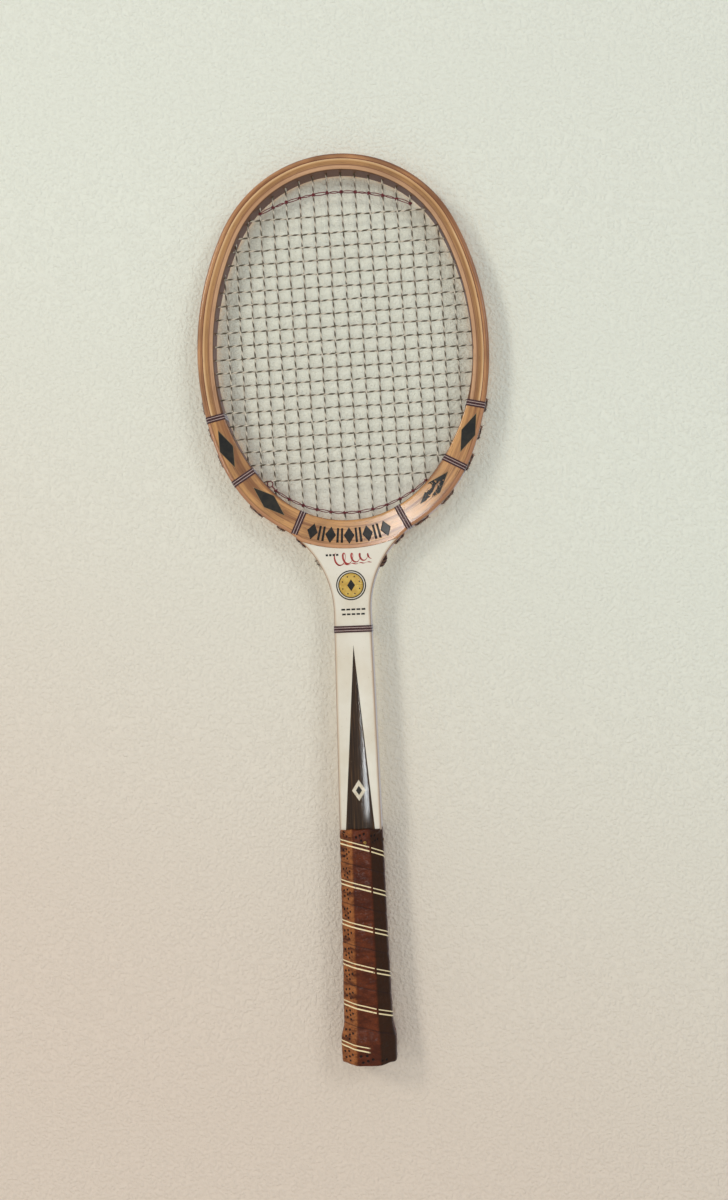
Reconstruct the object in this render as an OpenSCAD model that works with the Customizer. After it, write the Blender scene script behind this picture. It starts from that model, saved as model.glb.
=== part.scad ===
// Laminated wooden tennis racket with a solid throat, a strung head and a leather grip.
// Millimetres. X runs across the face, Z along the racket from its butt end, and the
// front face looks towards -Y. Outlines are drawn in a plan of X and Z and stood up.

/* [Head] */
// Length of the racket from the butt end to the top of the head
overall_length = 685.8; // [684:0.1:688]
// Half of the greatest width over the head
head_half_width = 110.4; // [109.5:0.1:111.5]
// Radius of the outline round the top of the head
top_radius = 98.4; // [97:0.1:100]
// Radius of the outline along each side of the head
side_radius = 214.5; // [212:0.5:217]
// Radius of the outline under the head, down to the throat
lower_radius = 102; // [100:0.5:103.5]
// Thickness of the hoop in the plane of the face, at the top and the sides
hoop_width = 12.4; // [12:0.1:13]
// Height of the lowest point of the opening in the head
opening_bottom_z = 409.2; // [408:0.2:410]
// Radius of the lowest arc of the opening
opening_low_radius = 80; // [78:0.5:82]
// Half of the depth of the hoop, without the overlays
half_depth = 9.4; // [9:0.1:9.6]
// Thickness of the veneer and fibre that cover the lower head, the throat and the shaft
skin = 0.6; // [0.5:0.1:0.8]

/* [Laminations] */
// Thickness of the outermost lamination
outer_ply = 3.8; // [3.4:0.1:4]
// Thickness of the red veneer
red_ply = 0.5; // [0.4:0.1:0.6]
// Thickness of the pale lamination
pale_ply = 2; // [1.8:0.1:2.2]
// Thickness of the brown lamination
brown_ply = 2.2; // [2:0.1:2.4]

/* [Throat and shaft] */
// Radius of the hollow curve on each side of the throat
throat_radius = 75.6; // [74:0.2:77]
// Half of the shaft's width where the throat curve ends
shaft_top_half = 13.9; // [13.6:0.1:14.2]
// Half of the shaft's width just above the grip
shaft_low_half = 15.9; // [15.6:0.1:16.2]
// Radius of the lower edge of the crown overlay, about the centre of the lower outline
overlay_radius = 105.6; // [105:0.1:107]
// Width of bare wood left along each edge of the fibre face
fibre_margin = 0.8; // [0.6:0.1:1]
// Half of the width of the wedge inlay at the grip
wedge_half = 11; // [10:0.1:11.5]
// Height of the tip of the wedge inlay
wedge_tip_z = 315; // [305:1:318]

/* [Handle] */
// Height of the upper edge of the leather
grip_top_z = 175.6; // [172:0.2:178]
// Thickness of the leather
leather = 1.5; // [1.3:0.1:1.6]
// Half of the width over the leather at its upper edge
grip_top_half = 16.2; // [16.1:0.1:16.6]
// Half of the width over the leather above the flare
grip_low_half = 18.5; // [18.2:0.1:18.8]
// Half of the width over the flared butt
butt_half = 20.8; // [20.4:0.1:21.2]
// Height at which the flare begins
flare_top_z = 28; // [26:0.5:30]
// Height at which the flare reaches its full width
flare_full_z = 19; // [17:0.5:20]
// Thickness of the butt cap
cap_thick = 3; // [2.5:0.1:3.5]

/* [Strings] */
// Diameter of the string
string_d = 1.3; // [1.2:0.05:1.35]
// Diameter of the holes drilled for the string
hole_d = 2.2; // [2:0.1:2.4]
// Spacing of the upright strings at the middle of the head
main_pitch = 10.75; // [10.7:0.01:10.8]
// Spacing of the cross strings
cross_pitch = 10.2; // [10.15:0.01:10.25]
// Height of the second cross string, counted from the throat
cross_start_z = 455.1; // [454.8:0.1:455.4]
// Wider gap that sets off the first and the last cross string
cross_end_gap = 12.8; // [12:0.1:13]
// Depth of the groove that sinks the string round the top of the head
groove = 1.8; // [1.7:0.05:1.9]

/* [Whipping] */
// Thickness of the thread wound round the frame
whip_thick = 0.5; // [0.4:0.05:0.6]
// Width of each band of thread
whip_width = 4.8; // [4.4:0.1:5.2]
// Height of the band round the shaft
shaft_whip_z = 327; // [320:0.5:334]

/* [Hidden] */
$fn = 180;

// Centres of the outline's arcs, each tangent to the next
top_z = overall_length - top_radius;
side_x = side_radius - head_half_width;
wide_z = top_z - sqrt(pow(side_radius - top_radius, 2) - pow(side_x, 2));
low_z = wide_z - sqrt(pow(side_radius - lower_radius, 2) - pow(side_x, 2));
throat_x = shaft_top_half + throat_radius;
throat_z = low_z - sqrt(pow(lower_radius + throat_radius, 2) - pow(throat_x, 2));
// Angles at which one arc hands over to the next
top_turn = atan2(top_z - wide_z, side_x);
low_turn = atan2(wide_z - low_z, side_x);
throat_turn = atan2(low_z - throat_z, throat_x);
// Arcs of the opening in the lower half of the head
open_low_z = opening_bottom_z + opening_low_radius;
open_half = head_half_width - hoop_width;
open_drop = wide_z - open_low_z;
open_side_radius = (pow(open_half - opening_low_radius, 2) + pow(open_drop, 2))
  / (2 * (open_half - opening_low_radius)) + opening_low_radius;
open_side_x = open_side_radius - open_half;
open_turn = atan2(open_drop, open_side_x);

bow = outer_ply + red_ply + pale_ply + brown_ply;
full_depth = half_depth + skin;
groove_start_z = wide_z - 39;
groove_turn = asin((groove_start_z - wide_z) / side_radius);

// Slope of the middle of each band of thread on the hoop, and how far out its middle lies
overlay_turn = 12.8;
upper_whip_reach = 101;
middle_whip_turn = 32;
middle_whip_reach = 92;
crown_whip_turn = 65;
crown_whip_reach = 90;

// Diamonds on the right: place in the plan, turn, length and width
diamond_thick = 0.15;
upper_diamond = [91.5, 468.6, -24, 28.3, 10.8];
lower_diamond = [62.8, 427.9, -45, 29, 11.8];

// Trebling: height of the arc's centre, its radius, its middle and half of its spread
treble_top = [521, 137.8, 90, 24.8];
treble_bottom = [506, 90.7, 270, 40.4];
treble_strand_r = 0.35;
treble_knot_r = 1.3;
treble_knot_half = 0.8;
treble_mains = 6;

// Strings: places of the mains and the crosses, and where they meet the outline
string_r = string_d / 2;
hole_r = hole_d / 2;
mains = [for (i = [0:8]) main_pitch * (i + 0.5) - 0.061 * pow(i + 0.5, 2)];
diverted = 5;
cross_count = 20;
crosses = [
  for (j = [0:cross_count - 1])
    j == 0 ? cross_start_z - cross_end_gap
    : j == cross_count - 1 ? cross_start_z + cross_pitch * (j - 2) + cross_end_gap
    : cross_start_z + cross_pitch * (j - 1)
];
exit_first = 26;
exit_step = 7.9;
weave = string_d + 0.04;

// Handle: half width between the cheeks, half depth of the pallets at the top, and the
// legs of the bevels as a share of the half width
handle_half = 13.8;
pallet_top_depth = 11.9;
section_bevel = 0.54;
grip_low_depth = 16.4;
grip_middle = [90, 17.1, 15.6];

// Tacks: heads and stems of those in the butt cap and of those in the grip
cap_tack_r = 2.2;
cap_tack_head = 0.8;
cap_tack_stem_r = 0.7;
cap_tack_ring = 11;
cap_tack_turns = [90, 210, 330];
grip_tack_r = 1.3;
grip_tack_head = 0.5;
grip_tack_stem_r = 0.5;
grip_tack_stem = 2.4;
grip_tack_z = grip_top_z - 9;
tack_gap = 0.02;

function along_circle(r, x) = sqrt(max(pow(r, 2) - pow(x, 2), 0));

// Half of the outline's width at height z, moved inwards by d
function outline_x(z, d) =
  z > top_z + (top_radius - d) * sin(top_turn) ? along_circle(top_radius - d, z - top_z)
  : z > low_z - (lower_radius - d) * sin(low_turn)
    ? along_circle(side_radius - d, z - wide_z) - side_x
  : along_circle(lower_radius - d, z - low_z);

// Height of the outline above and below the head at x, moved inwards by d
function outline_top(x, d) =
  x < (top_radius - d) * cos(top_turn) ? top_z + along_circle(top_radius - d, x)
  : wide_z + along_circle(side_radius - d, x + side_x);
function outline_low(x, d) = low_z - along_circle(lower_radius - d, x);

// Half of the opening's width at height z, and its lowest point at x
function opening_x(z) =
  z > wide_z ? outline_x(z, hoop_width)
  : z > open_low_z - opening_low_radius * sin(open_turn)
    ? along_circle(open_side_radius, z - wide_z) - open_side_x
  : along_circle(opening_low_radius, z - open_low_z);
function opening_low(x) =
  x < opening_low_radius * cos(open_turn) ? open_low_z - along_circle(opening_low_radius, x)
  : wide_z - along_circle(open_side_radius, x + open_side_x);

// Where a main leaves the frame below, moved outwards by e: the middle ones fan out to
// the throat's curve, the others run straight on
function low_exit(i, e) =
  i < diverted
    ? [throat_x - (throat_radius - e) * cos(exit_first + exit_step * i),
       throat_z + (throat_radius - e) * sin(exit_first + exit_step * i)]
    : [mains[i], outline_low(mains[i], -e)];

// Points along an arc, without its first point, about 3 degrees apart
function arc(x, z, r, from, to) =
  let (n = ceil(abs(to - from) / 3), step = (to - from) / n)
    [for (k = [1:n]) [x + r * cos(from + step * k), z + r * sin(from + step * k)]];

// The left half of a line that runs up the right half and ends on the axis
function left_half(line) = [for (i = [len(line) - 2:-1:0]) [-line[i][0], line[i][1]]];
function reversed(line) = [for (i = [len(line) - 1:-1:0]) line[i]];
function first_of(line, count) = [for (i = [0:count - 1]) line[i]];

// Arcs of the outline's right half, moved inwards by d: up the throat, and on over the head
function throat_line(d) = arc(throat_x, throat_z, throat_radius + d, 180, 180 - throat_turn);
function shoulder_line(d) = arc(0, low_z, lower_radius - d, -throat_turn, -low_turn);
function crown_line(d) = arc(0, low_z, lower_radius - d, -90, -throat_turn);
function upper_line(d, from) = concat(
  arc(-side_x, wide_z, side_radius - d, from, top_turn),
  arc(0, top_z, top_radius - d, top_turn, 90)
);

// The whole of the head's outline, and of its opening grown by e
function head_outline(d) =
  let (line = concat([[0, low_z - lower_radius + d]], crown_line(d), shoulder_line(d),
    upper_line(d, -low_turn)))
    concat(line, first_of(left_half(line), len(line) - 2));
function opening_outline(e) =
  let (line = concat([[0, opening_bottom_z - e]],
    arc(0, open_low_z, opening_low_radius + e, -90, -open_turn),
    arc(-open_side_x, wide_z, open_side_radius + e, -open_turn, 0),
    upper_line(hoop_width - e, 0)))
    concat(line, first_of(left_half(line), len(line) - 2));

// The throat and the shaft above the grip, moved inwards by d
function throat_outline(d) =
  let (line = concat(
    [[shaft_low_half - d, grip_top_z], [shaft_top_half - d, throat_z]], throat_line(d)))
    concat(line, [for (i = [len(line) - 1:-1:0]) [-line[i][0], line[i][1]]]);

// Octagon of the handle: half width a and half depth b over its facets, bevel leg c
function octagon(a, b, c) = [
  [a, c - b], [a, b - c], [a - c, b], [c - a, b],
  [-a, b - c], [-a, c - b], [c - a, -b], [a - c, -b]
];
// The section over the leather at height z, inset by t
function grip_section(a, b, t) =
  octagon(a - t, b - t, section_bevel * a - t * (2 - sqrt(2)));

// Stations of the grip: height, half width and half depth over the leather
grip_stations = [
  [0, butt_half - 0.2, 18.2],
  [flare_full_z, butt_half, 18.4],
  [flare_top_z, grip_low_half, grip_low_depth],
  grip_middle,
  [grip_top_z, grip_top_half, pallet_top_depth + leather]
];
// The same under the flare, where the wood runs straight on to the cap
handle_stations = [
  [cap_thick, grip_low_half, grip_low_depth],
  [flare_top_z, grip_low_half, grip_low_depth],
  grip_middle,
  [grip_top_z, grip_top_half, pallet_top_depth + leather]
];

module stand() {
  rotate([90, 0, 0]) children();
}

module both_sides() {
  children();
  mirror([1, 0, 0]) children();
}

// A closed line of the plan as a plate, h deep each way
module plate(points, h) {
  translate([0, 0, -h]) linear_extrude(2 * h) polygon(points);
}

// Round rod between two points of the plan
module rod(p, q, r) {
  run = q - p;
  translate([p[0], p[1], 0])
    rotate([0, 0, atan2(run[1], run[0])])
      rotate([0, 90, 0])
        cylinder(r = r, h = norm(run), $fn = 36);
}

// Solid with octagonal sections at rising heights
module loft(stations, t) {
  rings = [for (s = stations) grip_section(s[1], s[2], t)];
  n = len(stations);
  points = [for (k = [0:n - 1]) for (p = rings[k]) [p[0], p[1], stations[k][0]]];
  sides = [
    for (k = [0:n - 2])
      for (i = [0:7])
        [8 * k + i, 8 * (k + 1) + i, 8 * (k + 1) + (i + 1) % 8, 8 * k + (i + 1) % 8]
  ];
  polyhedron(
    points = points,
    faces = concat([[for (i = [0:7]) i]], sides, [[for (i = [7:-1:0]) 8 * (n - 1) + i]])
  );
}

// Everything inside the head's outline, moved inwards by d
module head_area(d, h) {
  plate(head_outline(d), h);
}

// The opening in the head, grown by e
module opening_area(e, h) {
  plate(opening_outline(e), h);
}

// One bent strip of the bow, between two distances in from the outline: round the head,
// through the throat and down each side of the shaft into the handle
module bow_strip(near, far) {
  plate(concat(bow_line(near), reversed(bow_line(far))), half_depth);
}

// A line along the bow at d in from the outline. The outermost ply is cut back to sit
// under the cheeks of the handle.
function bow_line(d) =
  let (
    leg = shaft_low_half - d,
    foot = d > 0 ? [[leg, cap_thick], [leg, grip_top_z]]
      : [[handle_half, cap_thick], [handle_half, grip_top_z], [leg, grip_top_z]],
    line = concat(foot, [[shaft_top_half - d, throat_z]], throat_line(d), shoulder_line(d),
      upper_line(d, -low_turn))
  )
    concat(line, left_half(line));

// The holes that the string runs through
module string_holes() {
  for (z = crosses)
    rod([-head_half_width - 5, z], [head_half_width + 5, z], hole_r);
  both_sides()
    for (i = [0:len(mains) - 1]) {
      x = mains[i];
      rod([x, outline_top(x, 20)], [x, overall_length + 5], hole_r);
      start = i < diverted ? [x, opening_low(x)] : [x, opening_low(x) + 5];
      away = low_exit(i, 4);
      rod(start, away, hole_r);
      if (i < diverted)
        translate([start[0], start[1], 0]) sphere(r = 1.2 * hole_r, $fn = 24);
    }
}

// The groove round the outside that the string loops sink into
module loop_groove() {
  outside = upper_line(-2, groove_turn);
  inside = upper_line(groove, groove_turn);
  plate(
    concat(outside, left_half(outside), reversed(left_half(inside)), reversed(inside)),
    hole_r
  );
}

// One ply of the bow, drilled for the strings and bevelled to lie inside the handle
module bow_ply(near, far) {
  difference() {
    stand()
      difference() {
        bow_strip(near, far);
        string_holes();
      }
    handle_waste();
  }
}

module bow_outer_ply() {
  color("peru")
    difference() {
      bow_ply(0, outer_ply);
      stand() loop_groove();
    }
}

module bow_red_veneer() {
  color("firebrick") bow_ply(outer_ply, outer_ply + red_ply);
}

module bow_pale_ply() {
  color("wheat") bow_ply(outer_ply + red_ply, outer_ply + red_ply + pale_ply);
}

module bow_brown_ply() {
  color("sienna") bow_ply(bow - brown_ply, bow);
}

// The closed ring that lines the bow and thickens into the crown
module inner_ring() {
  color("burlywood")
    stand()
      difference() {
        head_area(bow, half_depth);
        opening_area(0, half_depth + 1);
        string_holes();
      }
}

// The block that fills the fork of the bow under the ring. It stops short of the thin
// tips where the ring and the bow touch.
module throat_block() {
  short = 2;
  under = concat([[0, low_z - lower_radius + bow]], crown_line(bow));
  side = concat([[shaft_top_half - bow, throat_z]], throat_line(bow));
  right = concat(first_of(side, len(side) - short), reversed(first_of(under, len(under) - short)));
  color("tan")
    stand()
      difference() {
        plate(concat(right, left_half(right)), half_depth);
        string_holes();
      }
}

module shaft_core() {
  top = shaft_top_half - bow;
  low = shaft_low_half - bow;
  color("tan")
    stand()
      translate([0, 0, -half_depth])
        linear_extrude(2 * half_depth)
          polygon([
            [-top, throat_z], [-low, grip_top_z], [-low, cap_thick],
            [low, cap_thick], [low, grip_top_z], [top, throat_z]
          ]);
}

// Lower head and crown, up to the middle of the upper whippings
module overlay_area(h) {
  crest_z = wide_z - side_x * tan(overlay_turn);
  edge_z = crest_z - 120 * tan(overlay_turn);
  bottom_z = low_z - overlay_radius - 5;
  intersection() {
    difference() {
      union() {
        head_area(0, h);
        intersection() {
          plate(throat_outline(0), h);
          translate([0, low_z, -h]) cylinder(r = overlay_radius, h = 2 * h);
        }
      }
      opening_area(0, h + 1);
    }
    plate([[0, crest_z], [120, edge_z], [120, bottom_z], [-120, bottom_z], [-120, edge_z]], h);
  }
}

module overlay_plate() {
  translate([0, 0, half_depth + skin / 2]) overlay_area(skin / 2);
}

module crown_overlay_front() {
  color("goldenrod") stand() overlay_plate();
}

module crown_overlay_back() {
  color("goldenrod") mirror([0, 1, 0]) stand() overlay_plate();
}

// The wedge inlay, h deep each way
module wedge_area(h) {
  plate([[-wedge_half, grip_top_z], [wedge_half, grip_top_z], [0, wedge_tip_z]], h);
}

module fibre_plate() {
  translate([0, 0, half_depth + skin / 2])
    difference() {
      plate(throat_outline(fibre_margin), skin / 2);
      translate([0, low_z, -skin]) cylinder(r = overlay_radius, h = 2 * skin);
      wedge_area(skin);
    }
}

module fibre_face_front() {
  color("antiquewhite") stand() fibre_plate();
}

module fibre_face_back() {
  color("antiquewhite") mirror([0, 1, 0]) stand() fibre_plate();
}

module wedge_inlay_front() {
  color("black")
    stand()
      translate([0, 0, half_depth + skin / 2]) wedge_area(skin / 2);
}

module wedge_inlay_back() {
  color("black")
    mirror([0, 1, 0])
      stand()
        translate([0, 0, half_depth + skin / 2]) wedge_area(skin / 2);
}

// One diamond transfer, turned to follow the hoop
module diamond(d) {
  long = d[3];
  wide = d[4];
  translate([d[0], d[1], full_depth])
    rotate([0, 0, d[2]])
      linear_extrude(diamond_thick)
        polygon([[0, -long / 2], [wide / 2, 0], [0, long / 2], [-wide / 2, 0]]);
}

module diamond_set() {
  both_sides() {
    diamond(upper_diamond);
    diamond(lower_diamond);
  }
}

module diamonds_front() {
  color("black") stand() diamond_set();
}

module diamonds_back() {
  color("black") mirror([0, 1, 0]) stand() diamond_set();
}

// A band of thread round the right side of the hoop, along a ray from a point on the axis
module hoop_whipping(z, turn, reach) {
  grown = full_depth + whip_thick;
  intersection() {
    difference() {
      head_area(-whip_thick, grown);
      opening_area(-whip_thick, grown + 1);
    }
    translate([0, z, 0])
      rotate([0, 0, turn])
        translate([reach, 0, 0]) cube([34, whip_width, 3 * grown], center = true);
  }
}

module hoop_body() {
  difference() {
    head_area(0, full_depth);
    opening_area(0, full_depth + 1);
  }
}

module upper_whipping() {
  difference() {
    hoop_whipping(wide_z - side_x * tan(overlay_turn), -overlay_turn, upper_whip_reach);
    hoop_body();
  }
}

module middle_whipping() {
  difference() {
    hoop_whipping(low_z, -middle_whip_turn, middle_whip_reach);
    hoop_body();
  }
}

// Over the crown the thread stops at the throat, where it goes through the frame
module crown_whipping() {
  difference() {
    hoop_whipping(open_low_z, -crown_whip_turn, crown_whip_reach);
    hoop_body();
    plate(throat_outline(0), full_depth);
  }
}

module whipping_upper_left() {
  color("maroon") stand() mirror([1, 0, 0]) upper_whipping();
}

module whipping_upper_right() {
  color("maroon") stand() upper_whipping();
}

module whipping_middle_left() {
  color("maroon") stand() mirror([1, 0, 0]) middle_whipping();
}

module whipping_middle_right() {
  color("maroon") stand() middle_whipping();
}

module whipping_crown_left() {
  color("maroon") stand() mirror([1, 0, 0]) crown_whipping();
}

module whipping_crown_right() {
  color("maroon") stand() crown_whipping();
}

module whipping_shaft() {
  half = shaft_top_half + whip_thick;
  color("maroon")
    stand()
      difference() {
        translate([0, shaft_whip_z, 0])
          cube([2 * half, whip_width, 2 * (full_depth + whip_thick)], center = true);
        plate(throat_outline(0), full_depth);
      }
}

module main_strings() {
  color("ivory")
    stand()
      both_sides()
        for (i = [0:len(mains) - 1]) {
          x = mains[i];
          top = [x, outline_top(x, groove)];
          bend = [x, opening_low(x)];
          if (i < diverted) {
            rod(bend - [0, string_r], top, string_r);
            rod(bend, low_exit(i, 0), 0.96 * string_r);
          } else {
            rod(low_exit(i, 0), top, string_r);
          }
        }
}

// One cross string, passing over and under the mains that it meets
module cross_string(z, parity) {
  sides = 6;
  reach = outline_x(z, z > groove_start_z ? groove : 0);
  inner = opening_x(z);
  met = [for (i = [0:len(mains) - 1]) if (mains[i] < inner - 1.5) i];
  right = [for (i = met) [mains[i], weave * (i % 2 == parity ? 1 : -1)]];
  count = len(met);
  left = [for (k = [count - 1:-1:0]) [-right[k][0], -right[k][1]]];
  path = concat([[-reach, 0], [-inner, 0]], left, right, [[inner, 0], [reach, 0]]);
  n = len(path);
  points = [
    for (p = path)
      for (s = [0:sides - 1])
        [p[0], z + string_r * cos(360 * s / sides), p[1] + string_r * sin(360 * s / sides)]
  ];
  walls = [
    for (k = [0:n - 2])
      for (s = [0:sides - 1])
        [sides * k + (s + 1) % sides, sides * (k + 1) + (s + 1) % sides,
         sides * (k + 1) + s, sides * k + s]
  ];
  first = [for (s = [0:sides - 1]) s];
  last = [for (s = [sides - 1:-1:0]) sides * (n - 1) + s];
  polyhedron(points = points, faces = concat([first], walls, [last]));
}

module cross_strings() {
  color("ivory")
    stand()
      for (j = [0:cross_count - 1])
        cross_string(crosses[j], j % 2);
}

// Where cross string j leaves the frame on the right, at the centre of its loop
function side_exit(j, e) = [outline_x(crosses[j], -e), crosses[j]];

// The short lengths outside the frame, each from one hole to the next
module string_loops() {
  sunk = string_r + 0.1 - groove;
  proud = string_r + 0.15;
  last = len(mains) - 1;
  color("ivory")
    stand() {
      rod([-mains[0], outline_top(mains[0], -sunk)], [mains[0], outline_top(mains[0], -sunk)],
        string_r);
      both_sides() {
        for (i = [1:2:last])
          rod([mains[i], outline_top(mains[i], -sunk)],
            [mains[min(i + 1, last)], outline_top(mains[min(i + 1, last)], -sunk)], string_r);
        for (i = [0:2:last - 1])
          rod(low_exit(i, proud), low_exit(i + 1, proud), string_r);
      }
      for (j = [0:2:cross_count - 4])
        side_loop(j, sunk, proud);
      mirror([1, 0, 0])
        for (j = [1:2:cross_count - 2])
          side_loop(j, sunk, proud);
    }
}

module side_loop(j, sunk, proud) {
  e = crosses[j] > groove_start_z ? sunk : proud;
  rod(side_exit(j, e), side_exit(j + 1, e), string_r);
}

// Thin double cord across the mains: one strand before them, one behind, and a knot on each
module trebling(t) {
  centre_z = t[0];
  radius = t[1];
  lift = string_r + treble_strand_r + 0.02;
  for (side = [-1, 1])
    translate([0, centre_z, side * lift])
      rotate_extrude(angle = 2 * t[3], start = t[2] - t[3])
        translate([radius, 0]) circle(r = treble_strand_r, $fn = 16);
  rise = t[2] < 180 ? 1 : -1;
  both_sides()
    for (i = [0:treble_mains - 1]) {
      z = centre_z + rise * along_circle(radius, mains[i]);
      difference() {
        rod([mains[i], z - treble_knot_half], [mains[i], z + treble_knot_half], treble_knot_r);
        rod([mains[i], z - 2], [mains[i], z + 2], string_r + 0.02);
      }
    }
}

module trebling_top() {
  color("brown") stand() trebling(treble_top);
}

module trebling_bottom() {
  color("brown") stand() trebling(treble_bottom);
}

// All the wood that makes the handle octagonal, before it is cut into its pieces
module handle_build_up() {
  loft(handle_stations, leather);
}

// What is cut off the bow so that the handle's bevels stay clear of its corners
module handle_waste() {
  difference() {
    translate([-30, -30, cap_thick - 1]) cube([60, 60, grip_top_z - cap_thick + 1]);
    loft(concat([[cap_thick - 2, grip_low_half, grip_low_depth]], handle_stations), leather);
  }
}

module handle_pallet_front() {
  color("tan")
    difference() {
      intersection() {
        handle_build_up();
        translate([-25, -25, 0]) cube([50, 25 - half_depth, overall_length]);
      }
      grip_tack_shapes(tack_gap);
    }
}

module handle_pallet_back() {
  color("tan")
    intersection() {
      handle_build_up();
      translate([-25, half_depth, 0]) cube([50, 25, overall_length]);
    }
}

module handle_cheek() {
  intersection() {
    handle_build_up();
    translate([handle_half, -half_depth, 0]) cube([20, 2 * half_depth, overall_length]);
  }
}

module handle_cheek_left() {
  color("tan") mirror([1, 0, 0]) handle_cheek();
}

module handle_cheek_right() {
  color("tan")
    difference() {
      handle_cheek();
      grip_tack_shapes(tack_gap);
    }
}

module butt_flare() {
  color("tan")
    difference() {
      intersection() {
        loft(grip_stations, leather);
        translate([-30, -30, cap_thick]) cube([60, 60, flare_top_z - cap_thick]);
      }
      loft(
        [[0, grip_low_half, grip_low_depth], [flare_top_z + 1, grip_low_half, grip_low_depth]],
        leather
      );
    }
}

module butt_cap() {
  color("saddlebrown")
    difference() {
      intersection() {
        loft(grip_stations, leather);
        translate([-30, -30, 0]) cube([60, 60, cap_thick]);
      }
      butt_tack_shapes(tack_gap);
    }
}

module butt_tack_shapes(gap) {
  for (turn = cap_tack_turns)
    rotate([0, 0, turn])
      translate([cap_tack_ring, 0, -gap]) {
        cylinder(r = cap_tack_r + gap, h = cap_tack_head + 2 * gap, $fn = 32);
        cylinder(r = cap_tack_stem_r + gap, h = cap_thick + 2 * gap, $fn = 24);
      }
}

module butt_tacks() {
  color("darkgoldenrod") butt_tack_shapes(0);
}

module leather_grip() {
  color("saddlebrown")
    difference() {
      loft(grip_stations, 0);
      difference() {
        loft(grip_stations, leather);
        translate([-30, -30, -1]) cube([60, 60, 1]);
      }
      grip_tack_shapes(tack_gap);
    }
}

// Two tacks that hold the leather's upper end: one on the front facet, one on the side
module grip_tack_shapes(gap) {
  front = 13.75;
  right = 16.45;
  aside = 3.2;
  translate([aside, -front, grip_tack_z]) rotate([90, 0, 0]) tack(gap);
  translate([right, 0, grip_tack_z]) rotate([0, 90, 0]) tack(gap);
}

module tack(gap) {
  translate([0, 0, -gap]) cylinder(r = grip_tack_r + gap, h = grip_tack_head + 2 * gap, $fn = 24);
  translate([0, 0, -grip_tack_stem - gap])
    cylinder(r = grip_tack_stem_r + gap, h = grip_tack_stem + 0.2, $fn = 16);
}

module grip_tacks() {
  color("darkgoldenrod") grip_tack_shapes(0);
}

bow_outer_ply();
bow_red_veneer();
bow_pale_ply();
bow_brown_ply();
inner_ring();
throat_block();
shaft_core();
crown_overlay_front();
crown_overlay_back();
fibre_face_front();
fibre_face_back();
wedge_inlay_front();
wedge_inlay_back();
diamonds_front();
diamonds_back();
whipping_upper_left();
whipping_upper_right();
whipping_middle_left();
whipping_middle_right();
whipping_crown_left();
whipping_crown_right();
whipping_shaft();
main_strings();
cross_strings();
string_loops();
trebling_top();
trebling_bottom();
handle_pallet_front();
handle_pallet_back();
handle_cheek_left();
handle_cheek_right();
butt_flare();
butt_cap();
butt_tacks();
leather_grip();
grip_tacks();
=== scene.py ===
"""Looks of a laminated wooden tennis racket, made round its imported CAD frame, in metres."""

import math
import random

import bmesh
import bpy
import numpy as np
from mathutils import Matrix, Vector


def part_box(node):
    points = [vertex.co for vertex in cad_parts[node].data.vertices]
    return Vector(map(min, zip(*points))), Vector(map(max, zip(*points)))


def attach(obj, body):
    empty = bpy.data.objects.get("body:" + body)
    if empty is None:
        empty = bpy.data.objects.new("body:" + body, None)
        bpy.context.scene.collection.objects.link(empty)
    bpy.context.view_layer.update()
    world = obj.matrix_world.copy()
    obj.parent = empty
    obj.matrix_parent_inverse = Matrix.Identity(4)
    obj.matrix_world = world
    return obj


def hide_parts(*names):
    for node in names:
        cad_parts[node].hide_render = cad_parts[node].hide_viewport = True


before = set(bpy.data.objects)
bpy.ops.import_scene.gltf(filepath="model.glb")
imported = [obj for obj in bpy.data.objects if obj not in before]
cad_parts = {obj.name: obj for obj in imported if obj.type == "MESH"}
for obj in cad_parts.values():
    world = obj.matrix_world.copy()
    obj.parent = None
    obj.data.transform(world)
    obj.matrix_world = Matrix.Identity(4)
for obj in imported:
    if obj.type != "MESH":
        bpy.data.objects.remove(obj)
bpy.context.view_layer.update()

MM = 0.001
BODY = "root"
TAU = 2 * math.pi
chance = random.Random(27)

# ---------------------------------------------------------------- driving dimensions

# Arcs of the outline, as in the CAD
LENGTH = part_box("bow_outer_ply")[1].z
HEAD_HALF = 110.4 * MM
TOP_R = 98.4 * MM
SIDE_R = 214.5 * MM
LOW_R = 102 * MM
THROAT_R = 75.6 * MM
HOOP = 12.4 * MM
OPEN_BOTTOM = 409.2 * MM
OPEN_LOW_R = 80 * MM
SHAFT_TOP_HALF = 13.9 * MM
SHAFT_LOW_HALF = 15.9 * MM
HANDLE_HALF = 13.8 * MM
HANDLE_BEVEL = 18.6 * MM
OVERLAY_R = 105.6 * MM
GRIP_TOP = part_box("leather_grip")[1].z
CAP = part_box("butt_cap")[1].z
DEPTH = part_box("inner_ring")[1].y
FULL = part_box("crown_overlay_back")[1].y
SKIN = FULL - DEPTH
WEDGE_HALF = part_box("wedge_inlay_front")[1].x
WEDGE_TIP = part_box("wedge_inlay_front")[1].z

# Laminations of the bow, from the outside in
OUTER = 3.8 * MM
RED = 0.5 * MM
PALE = 2.0 * MM
BROWN = 2.2 * MM
BOW = OUTER + RED + PALE + BROWN

# Strings
STRING_R = 0.65 * MM
HOLE_R = 1.1 * MM
GROOVE = 1.8 * MM
GROOVE_START = 497 * MM
MAINS = [(10.75 * (i + 0.5) - 0.061 * (i + 0.5) ** 2) * MM for i in range(9)]
CROSSES = [442.3 * MM] + [(455.1 + 10.2 * k) * MM for k in range(18)] + [641.3 * MM]
DIVERTED = 5
EXIT_FIRST = math.radians(26)
EXIT_STEP = math.radians(7.9)
MAIN_LEAN = -0.018
LEAN_Z = 540 * MM
CROSS_RISE = 0.013
MAIN_BEND = 0.58 * MM
CROSS_BEND = 0.68 * MM
TWIST = 7.7 * MM
STRING_STEP = 1.25 * MM
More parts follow.
